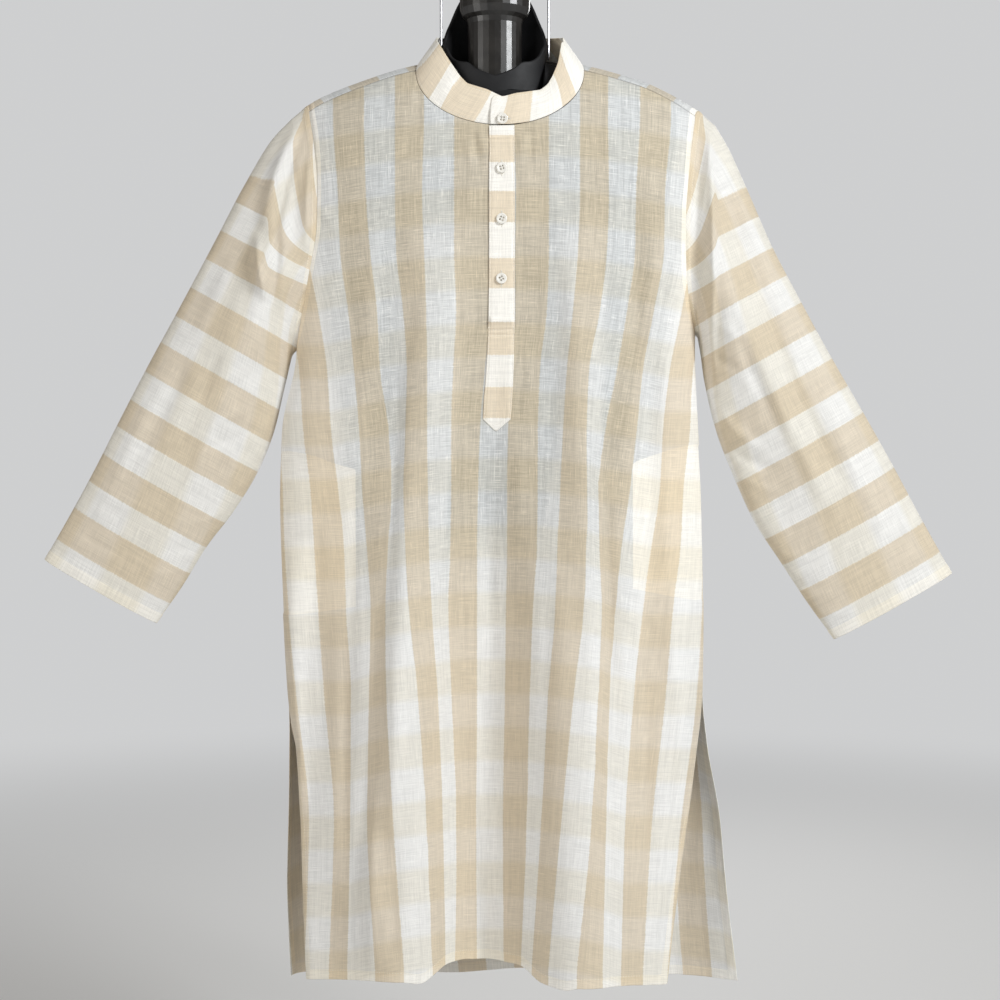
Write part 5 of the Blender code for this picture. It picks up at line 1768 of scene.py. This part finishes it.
def hole_ring(length, width):
    """A worked buttonhole: short stitches side by side round a narrow slot."""
    work = bmesh.new()
    for i in range(HOLE_STITCHES):
        angle = 2 * math.pi * i / HOLE_STITCHES
        outer = Vector((width / 2 * math.cos(angle), length / 2 * math.sin(angle), 0))
        stretch = abs(math.sin(angle))
        inner = Vector((0.25 * math.cos(angle), outer.y * (1 - 0.12 * stretch), 0))
        ahead = Vector((-math.sin(angle) * 0.24, math.cos(angle) * 0.24 + 0.1, 0))
        top = Vector((0, 0, 0.3))
        corners = [outer - ahead, outer + ahead, inner + ahead * 0.6, inner - ahead * 0.6]
        low = [work.verts.new(c) for c in corners]
        ridge_a = work.verts.new(outer * 0.8 + inner * 0.2 + top)
        ridge_b = work.verts.new(outer * 0.2 + inner * 0.8 + top)
        work.faces.new((low[0], low[1], ridge_a))
        work.faces.new((low[1], low[2], ridge_b, ridge_a))
        work.faces.new((low[2], low[3], ridge_b))
        work.faces.new((low[3], low[0], ridge_a, ridge_b))
    return finished(work, "hole_ring")


print("stitches round a buttonhole", HOLE_STITCHES)

# %% [markdown]
# ## Sewing on
# Each button sits where a ray from the front meets the cloth, turned to the cloth's normal
# there, with its thread and its buttonhole. No two buttons have their holes at one angle.

# %% Buttons in place


def seat_on(target, x, z):
    """Place and turn for a piece that sits on a sheet at x and z, its z axis outward."""
    tree = faces_of(target)
    start = Vector((x + SHIFT[0], -400, z))
    spot, normal, _, _ = tree.ray_cast(start, Vector((0, 1, 0)))
    if normal.y > 0:
        normal = -normal
    across = Vector((1, 0, 0))
    up = normal.cross(across).normalized()
    across = up.cross(normal).normalized()
    turn = Matrix((across, up, normal)).transposed()
    return spot, turn


def baked(data, name, spot, turn, spin, rise):
    """A copy of a small mesh with its place worked into its points."""
    data = data.copy()
    data.name = name
    place = Matrix.Translation(spot) @ (turn @ Matrix.Rotation(spin, 3, "Z")).to_4x4()
    data.transform(Matrix.Scale(MM, 4) @ place @ Matrix.Translation((0, 0, rise)))
    data.shade_smooth()
    made = linked(name, data)
    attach(made, "root")
    return made


disc = button_mesh()
bars = thread_bars()
upright = hole_ring(19.0, 2.6)
button_pieces, thread_pieces = [], []
collar_face = (CENTRE_X + COLLAR_BUTTON_SHIFT, COLLAR_BUTTON_Z)
places = enumerate(zip(*PLACKET_BUTTONS.values()), 1)
seats = [(f"button_{i}", placket_cloth, x, z, 0.0) for i, (x, z) in places]
seats.append(("button_collar", collar_cloth, *collar_face, math.pi / 2))
for i, (name, target, x, z, lie) in enumerate(seats):
    spot, turn = seat_on(target, x, z)
    spin = 0.3 + 0.9 * i
    face = baked(disc, f"{name}_disc", spot, turn, spin, BUTTON_RISE)
    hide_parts(name)
    button_pieces.append(face)
    for made in (
        baked(bars, f"{name}_thread", spot, turn, spin, BUTTON_RISE),
        baked(upright, f"{name}_hole", spot, turn, lie, HOLE_LIFT),
    ):
        thread_pieces.append(made)
print("buttons", len(button_pieces))

# %% [markdown]
# ## Neck cup of the form
# The form's neck opens in a thin plastic cup with a low front and a high back. Its rim is
# a slightly wavy moulded lip that catches the light. The rim's height is one table round
# the neck, and the wall below is a plain loft, so the lip can be rounded and smooth.

# %% Neck cup
CUP_X = -6.0
CUP_HALF_X = 61.0
CUP_FRONT_Y = -46.0
CUP_BACK_Y = 31.0
CUP_WALL = 4.0
CUP_LOW = -214.0
CUP_RIM = table(
    "turn z",
    (0, -186), (0.03, -182), (0.06, -177), (0.09, -169), (0.12, -167), (0.16, -160),
    (0.2, -147), (0.25, -137), (0.32, -112), (0.4, -72), (0.5, -60),
)


def form_tops(points):
    """Height of the torso form under each point, or CUP_LOW where there is none."""
    tree = faces_of(bpy.data.objects["form_body"])
    tops = []
    for x, y, z in points:
        spot = tree.ray_cast(Vector((x + SHIFT[0], y + SHIFT[1], z)), Vector((0, 0, -1)))[0]
        tops.append(spot.z if spot else CUP_LOW)
    return np.maximum(np.array(tops), CUP_LOW)


def cup_grid(sides=120):
    """Rings from the outer foot over the rounded lip to the inner foot."""
    turn = np.linspace(0, 2 * math.pi, sides, endpoint=False)
    away = np.abs((turn / (2 * math.pi) + 0.5) % 1 - 0.5)
    rim = along(CUP_RIM, "turn", "z", away)
    levels = np.linspace(0, 1, 8)
    lip = [(0, s, 0) for s in levels]
    lip += [(1 - math.cos(a), 1, math.sin(a)) for a in np.linspace(0.15, math.pi - 0.15, 9)]
    lip += [(2, s, 0) for s in levels[::-1]]
    rows = []
    foot = None
    for inset, share, round_up in lip:
        inward = inset * CUP_WALL / 2
        x = CUP_X + (CUP_HALF_X - inward) * np.sin(turn)
        half = (CUP_BACK_Y - CUP_FRONT_Y) / 2 - inward
        y = (CUP_BACK_Y + CUP_FRONT_Y) / 2 - half * np.cos(turn)
        if foot is None:
            foot = np.minimum(form_tops(np.stack([x, y, rim], 1)) + 3 * GAP, rim - CUP_WALL)
        shoulder = rim - CUP_WALL / 2
        z = foot + (shoulder - foot) * share + round_up * CUP_WALL / 2
        rows.append(np.stack([x, y, z], 1))
    return np.array(rows)


grid = cup_grid()
zero = np.zeros((grid.shape[0], grid.shape[1] + 1, 2))
form_cup = sheet("form_cup", grid, zero, plain_marks(grid), closed=True, thick=0)
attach(form_cup, "root")
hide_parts("form_neck")

# %% [markdown]
# ## Cloth
# The cloth is a light slubby cotton and linen check. Two node groups are shared by every
# piece: one gives the slubs, the uneven threads and the weave, the other turns the
# pattern coordinates into strong stripes with ragged edges and faint bands with soft ones.

# %% Slub weave group
FLOAT, VECTOR = "NodeSocketFloat", "NodeSocketVector"
slub_weave, given, put = group(
    "slub_weave",
    [("Vector", VECTOR, None), ("Thread", FLOAT, 0.9), ("Slub", FLOAT, 1.0)],
    [("Tone", FLOAT), ("Slubs", FLOAT), ("Height", FLOAT)],
)


def streaks(tree, vector, across, along_thread, detail=2.0, seed=0.0):
    """Noise drawn out along one thread direction. Sizes are in millimetres."""
    scaled = vector_maths(tree, "MULTIPLY", vector, (1 / across, 1 / along_thread, 1))
    moved = vector_maths(tree, "ADD", scaled, (seed, seed * 1.7, seed))
    settings = {"Vector": moved, "Scale": 1.0, "Detail": detail}
    return node(tree, "ShaderNodeTexNoise", settings, noise_dimensions="2D").outputs["Fac"]


vector = given.outputs["Vector"]
warp = streaks(slub_weave, vector, 0.9, 34, seed=3.1)
weft = streaks(slub_weave, vector, 30, 0.9, seed=9.4)
broad = streaks(slub_weave, vector, 4.5, 120, seed=5.2)
warp_slub = soft_step(slub_weave, streaks(slub_weave, vector, 1.2, 16, 0.0, 21.0), 0.68, 0.86)
weft_slub = soft_step(slub_weave, streaks(slub_weave, vector, 15, 1.1, 0.0, 33.0), 0.66, 0.86)
slubs = maths(slub_weave, "MAXIMUM", warp_slub, weft_slub)
slubs = maths(slub_weave, "MULTIPLY", slubs, given.outputs["Slub"])
WARP_SHARE, WEFT_SHARE, BROAD_SHARE = 0.34, 0.44, 0.22  # of the uneven tone of the threads
tone = maths(slub_weave, "MULTIPLY", weft, WEFT_SHARE)
tone = maths(slub_weave, "MULTIPLY_ADD", warp, WARP_SHARE, tone)
tone = maths(slub_weave, "MULTIPLY_ADD", broad, BROAD_SHARE, tone)
split = node(slub_weave, "ShaderNodeSeparateXYZ", {0: vector})
turns = maths(slub_weave, "DIVIDE", 2 * math.pi, given.outputs["Thread"])
over = maths(slub_weave, "SINE", maths(slub_weave, "MULTIPLY", split.outputs[0], turns))
under = maths(slub_weave, "SINE", maths(slub_weave, "MULTIPLY", split.outputs[1], turns))
plain_weave = maths(slub_weave, "MULTIPLY", over, under)
WEAVE_RISE, SLUB_RISE = 0.22, 0.35
height = maths(slub_weave, "MULTIPLY_ADD", plain_weave, WEAVE_RISE, tone)
height = maths(slub_weave, "MULTIPLY_ADD", slubs, SLUB_RISE, height)
for label, value in (("Tone", tone), ("Slubs", slubs), ("Height", height)):
    slub_weave.links.new(value, put.inputs[label])
print("group", slub_weave.name)

# %% Check group
check, given, put = group(
    "check",
    [("Pattern", VECTOR, None), ("Ragged", FLOAT, 0.05)],
    [("Stripe", FLOAT), ("Band", FLOAT)],
)
pattern = given.outputs["Pattern"]
split = node(check, "ShaderNodeSeparateXYZ", {0: pattern})
rough_u = streaks(check, pattern, 3.0, 0.04, 1.0, 2.0)
rough_v = streaks(check, pattern, 0.04, 3.0, 1.0, 7.0)


def wave(tree, position, jitter, shift):
    """A wave over 0 in every other stripe, its edges a little ragged."""
    jitter = maths(tree, "SUBTRACT", jitter, 0.5)
    moved = maths(tree, "MULTIPLY_ADD", jitter, given.outputs["Ragged"], position)
    return maths(tree, "COSINE", maths(tree, "MULTIPLY", maths(tree, "ADD", moved, shift), math.pi))


stripe_wave = wave(check, split.outputs[0], rough_u, 0.0)
band_wave = wave(check, split.outputs[1], rough_v, -0.5)
for label, value, blur in (("Stripe", stripe_wave, 0.07), ("Band", band_wave, 0.42)):
    check.links.new(soft_step(check, value, -blur, blur), put.inputs[label])
print("group", check.name)

# %% [markdown]
# ## Cloth materials
# White and unbleached threads cross, so there are three tones: white on white, mixed,
# and beige on beige. Painted see-through shade makes the thin cloth greyer and cooler where
# the black form and the shaded inside of the garment lie close behind it, and painted light
# makes doubled cloth lighter and warmer. The sleeves get a duller white, painted shade as
# they hang in less light than the body. A little sheen stands for the fibres on the threads.

# %% Cloth materials
WHITE = (0.822, 0.812, 0.79, 1)
# painted shade: a darker white for the sleeves, which hang in less light than the body
SLEEVE_WHITE_PAINTED_SHADE = (0.768, 0.755, 0.726, 1)
WARP_BEIGE = (0.85, 0.758, 0.632, 1)
WEFT_BEIGE = (0.95, 0.922, 0.85, 1)
# painted see-through shade: the tints of white and beige where the form and the shaded inside show
# through
WHITE_SEE_THROUGH_SHADE = (0.74, 0.765, 0.785, 1)
BEIGE_SEE_THROUGH_SHADE = (0.82, 0.83, 0.815, 1)
# painted light: doubled cloth made lighter and warmer, as two thin layers give back more light than
# one
DOUBLED_PAINTED_LIGHT = (1.09, 1.07, 1.025, 1)
ONE = (1, 1, 1, 1)
THREAD_LIGHT = 1.075  # on the threads, less the shade in the gaps between them
# the second darkens the gaps between threads further under painted see-through shade
GAP_SHADE, GAP_SEE_THROUGH_SHADE = 0.15, 0.13
SLUB_COVER, SLUB_LIGHT = 0.4, 0.08
EDGE_SHARP = 0.015  # half width of the step at the edge of doubled cloth


def cloth_material(name, white=WHITE, stripe=1.0, band=0.9):
    """Checked cloth on the Pattern map. stripe and band are the strength of its beige."""
    made = bpy.data.materials.new(name)
    made.use_nodes = True
    tree = made.node_tree
    shader = tree.nodes["Principled BSDF"]
    pattern = node(tree, "ShaderNodeUVMap", uv_map="Pattern").outputs[0]
    size = vector_maths(tree, "MULTIPLY", pattern, (STRIPE_MM, BAND_MM, 1))
    weave = node(tree, "ShaderNodeGroup", node_tree=slub_weave)
    tree.links.new(size, weave.inputs["Vector"])
    checks = node(tree, "ShaderNodeGroup", node_tree=check)
    tree.links.new(pattern, checks.inputs["Pattern"])
    # the red of this attribute is painted see-through shade, the green the reach into doubled cloth
    mark = node(tree, "ShaderNodeAttribute", attribute_name="Cover")
    marks = node(tree, "ShaderNodeSeparateColor", {0: mark.outputs["Color"]})
    doubled = soft_step(tree, marks.outputs[1], 0.5 - EDGE_SHARP, 0.5 + EDGE_SHARP)
    beige = blend_colour(tree, stripe, ONE, WARP_BEIGE)
    colour = blend_colour(tree, checks.outputs["Stripe"], beige, ONE)
    crossing = blend_colour(tree, checks.outputs["Band"], WEFT_BEIGE, ONE)
    crossing = blend_colour(tree, band, ONE, crossing)
    colour = blend_colour(tree, 1.0, colour, crossing, "MULTIPLY")
    colour = blend_colour(tree, 1.0, colour, white, "MULTIPLY")
    # painted see-through shade from the red mark: none on doubled cloth, less on slubs
    single = maths(tree, "SUBTRACT", 1.0, doubled)
    shade = maths(tree, "MULTIPLY", marks.outputs[0], single)
    dense = maths(tree, "MULTIPLY_ADD", weave.outputs["Slubs"], -SLUB_COVER, 1.0)
    shade = maths(tree, "MULTIPLY", shade, dense)
    through = blend_colour(tree, checks.outputs["Stripe"], BEIGE_SEE_THROUGH_SHADE, WHITE_SEE_THROUGH_SHADE)
    shaded = blend_colour(tree, 1.0, colour, through, "MULTIPLY")
    colour = blend_colour(tree, shade, colour, shaded)
    # painted light on doubled cloth
    lighter = blend_colour(tree, 1.0, colour, DOUBLED_PAINTED_LIGHT, "MULTIPLY")
    colour = blend_colour(tree, doubled, colour, lighter)
    gap = soft_step(tree, weave.outputs["Tone"], 0.62, 0.36)
    # the gaps between threads darken more under painted see-through shade
    thin = maths(tree, "MULTIPLY_ADD", shade, GAP_SEE_THROUGH_SHADE, GAP_SHADE)
    light = maths(tree, "SUBTRACT", THREAD_LIGHT, maths(tree, "MULTIPLY", gap, thin))
    light = maths(tree, "MULTIPLY_ADD", weave.outputs["Slubs"], SLUB_LIGHT, light)
    light = node(tree, "ShaderNodeCombineColor", {0: light, 1: light, 2: light}).outputs[0]
    colour = blend_colour(tree, 1.0, colour, light, "MULTIPLY")
    tree.links.new(colour, shader.inputs["Base Color"])
    bumps = {"Strength": 0.35, "Distance": 0.0005, "Height": weave.outputs["Height"]}
    raised = node(tree, "ShaderNodeBump", bumps)
    tree.links.new(raised.outputs[0], shader.inputs["Normal"])
    shader.inputs["Roughness"].default_value = 0.86
    shader.inputs["Sheen Weight"].default_value = 0.12
    shader.inputs["Sheen Roughness"].default_value = 0.5
    return made


check_cloth = cloth_material("check_cloth_finish")
# the sleeves' material carries the painted shade of their duller white
painted_shade_sleeve_cloth = cloth_material("sleeve_cloth_finish", white=SLEEVE_WHITE_PAINTED_SHADE)
plain_cloth = cloth_material("white_cloth_finish", stripe=0.0, band=0.0)
for piece in check_pieces:
    in_sleeve = piece.name.startswith("sleeve")
    piece.data.materials.append(painted_shade_sleeve_cloth if in_sleeve else check_cloth)
for piece in plain_pieces:
    piece.data.materials.append(plain_cloth)
print("cloth materials set")

# %% [markdown]
# ## Thread, buttons, form and wire materials
# Thread is off-white cotton with a fine twist. The buttons are cast resin, slightly
# cloudy. The torso form is satin black plastic with fine scuffs, its post is glossy, and
# the bail is bright steel wire.

# %% Other materials


def fine_noise(tree, scale, detail=3.0, stretch=(1, 1, 1)):
    """Noise in the piece's own coordinates."""
    place = node(tree, "ShaderNodeTexCoord").outputs["Object"]
    scaled = vector_maths(tree, "MULTIPLY", place, stretch)
    settings = {"Vector": scaled, "Scale": scale, "Detail": detail}
    return node(tree, "ShaderNodeTexNoise", settings).outputs["Fac"]


def simple_material(name, dark, light, rough, scale, bump, stretch=(1, 1, 1), **extra):
    """A finish that wanders between two greys or colours and two roughness values."""
    made = bpy.data.materials.new(name)
    made.use_nodes = True
    tree = made.node_tree
    shader = tree.nodes["Principled BSDF"]
    cloud = fine_noise(tree, scale, 4.0, stretch)
    colour = blend_colour(tree, soft_step(tree, cloud, 0.3, 0.7), (*dark, 1), (*light, 1))
    tree.links.new(colour, shader.inputs["Base Color"])
    scuffs = {"Value": fine_noise(tree, scale * 2.3), "To Min": rough[0], "To Max": rough[1]}
    wander = node(tree, "ShaderNodeMapRange", scuffs)
    tree.links.new(wander.outputs["Result"], shader.inputs["Roughness"])
    bumps = {"Strength": bump, "Distance": 0.0002, "Height": fine_noise(tree, scale * 6)}
    raised = node(tree, "ShaderNodeBump", bumps)
    tree.links.new(raised.outputs[0], shader.inputs["Normal"])
    for label, value in extra.items():
        shader.inputs[label.replace("_", " ")].default_value = value
    return made


thread_finish = simple_material(
    "thread_finish", (0.76, 0.72, 0.63), (0.86, 0.83, 0.76), (0.7, 0.9), 900, 0.3,
    Sheen_Weight=0.15,
)
resin = simple_material(
    "button_resin", (0.80, 0.77, 0.70), (0.88, 0.86, 0.81), (0.3, 0.45), 300, 0.05,
    Coat_Weight=0.15,
)
satin = simple_material(
    "form_satin_black", (0.007, 0.007, 0.008), (0.013, 0.013, 0.014), (0.5, 0.68), 45, 0.15,
    Specular_IOR_Level=0.3,
)
gloss = simple_material(
    "post_gloss_black", (0.012, 0.011, 0.010), (0.022, 0.020, 0.018), (0.26, 0.4), 60, 0.03,
    Coat_Weight=0.12, Coat_Roughness=0.12,
)
steel = simple_material(
    "wire_steel", (0.2, 0.2, 0.21), (0.32, 0.32, 0.33), (0.3, 0.44), 200, 0.08, (1, 1, 0.02),
    Metallic=1.0,
)

for piece in stitch_pieces + thread_pieces:
    piece.data.materials.append(thread_finish)
for piece in button_pieces:
    piece.data.materials.clear()
    piece.data.materials.append(resin)


def finish_node(name, finish):
    """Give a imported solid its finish."""
    solid = bpy.data.objects[name]
    for slot in solid.material_slots:
        slot.material = finish


finish_node("form_body", satin)
finish_node("neck_post", gloss)
finish_node("wire_bail", steel)
form_cup.data.materials.append(satin)
print("hard finishes set")

# %% [markdown]
# ## Flat cuts
# A garment is cut flat, then sewn and hung. Each piece of cloth is listed with the size of
# the flat cut that shows, all round for a sleeve, its area, how it is held and what it rests
# on. Its cut area is printed beside the area of the hung sheet, with a count of the stitches
# and buttons that the piece carries.

# %% Flat cuts
FLAT_CUTS = {
    "front_cloth": (0.600, 1.075, 0.536, "hung", ["form_body"]),
    "back_cloth": (0.600, 1.150, 0.578, "hung", ["form_body"]),
    "sleeve_left_cloth": (0.620, 0.620, 0.192, "hung", ["front_cloth", "back_cloth"]),
    "sleeve_right_cloth": (0.610, 0.622, 0.192, "hung", ["front_cloth", "back_cloth"]),
    "collar_cloth": (0.490, 0.046, 0.0216, "hung", ["front_cloth", "back_cloth"]),
    "placket_cloth": (0.034, 0.352, 0.0105, "laid", ["front_cloth"]),
    "placket_under_cloth": (0.024, 0.216, 0.0048, "laid", ["front_cloth"]),
    "pocket_bag_left_cloth": (0.085, 0.190, 0.0148, "laid", ["front_cloth"]),
    "pocket_bag_right_cloth": (0.083, 0.181, 0.0139, "laid", ["front_cloth"]),
}
CARRIED = {
    "front_cloth": ("front_stitches",),
    "back_cloth": ("back_stitches",),
    "sleeve_left_cloth": ("cuff_stitches_left",),
    "sleeve_right_cloth": ("cuff_stitches_right",),
    "collar_cloth": ("collar_stitches", "button_collar_"),
    "placket_cloth": ("placket_stitches", "button_1_", "button_2_", "button_3_"),
}


def cloth_area(piece):
    """Area of one face of a sheet in square metres."""
    areas = np.zeros(len(piece.data.polygons))
    piece.data.polygons.foreach_get("area", areas)
    return float(areas.sum())


small_pieces = stitch_pieces + button_pieces + thread_pieces
for piece in check_pieces + plain_pieces:
    width, length, area, held, rests_on = FLAT_CUTS[piece.name]
    starts = CARRIED.get(piece.name, ())
    on_it = [small for small in small_pieces if small.name.startswith(starts)]
    hung = round(cloth_area(piece), 4)
    print(piece.name, "cut", area, "m2, hung", hung, "m2, pieces on it", len(on_it))
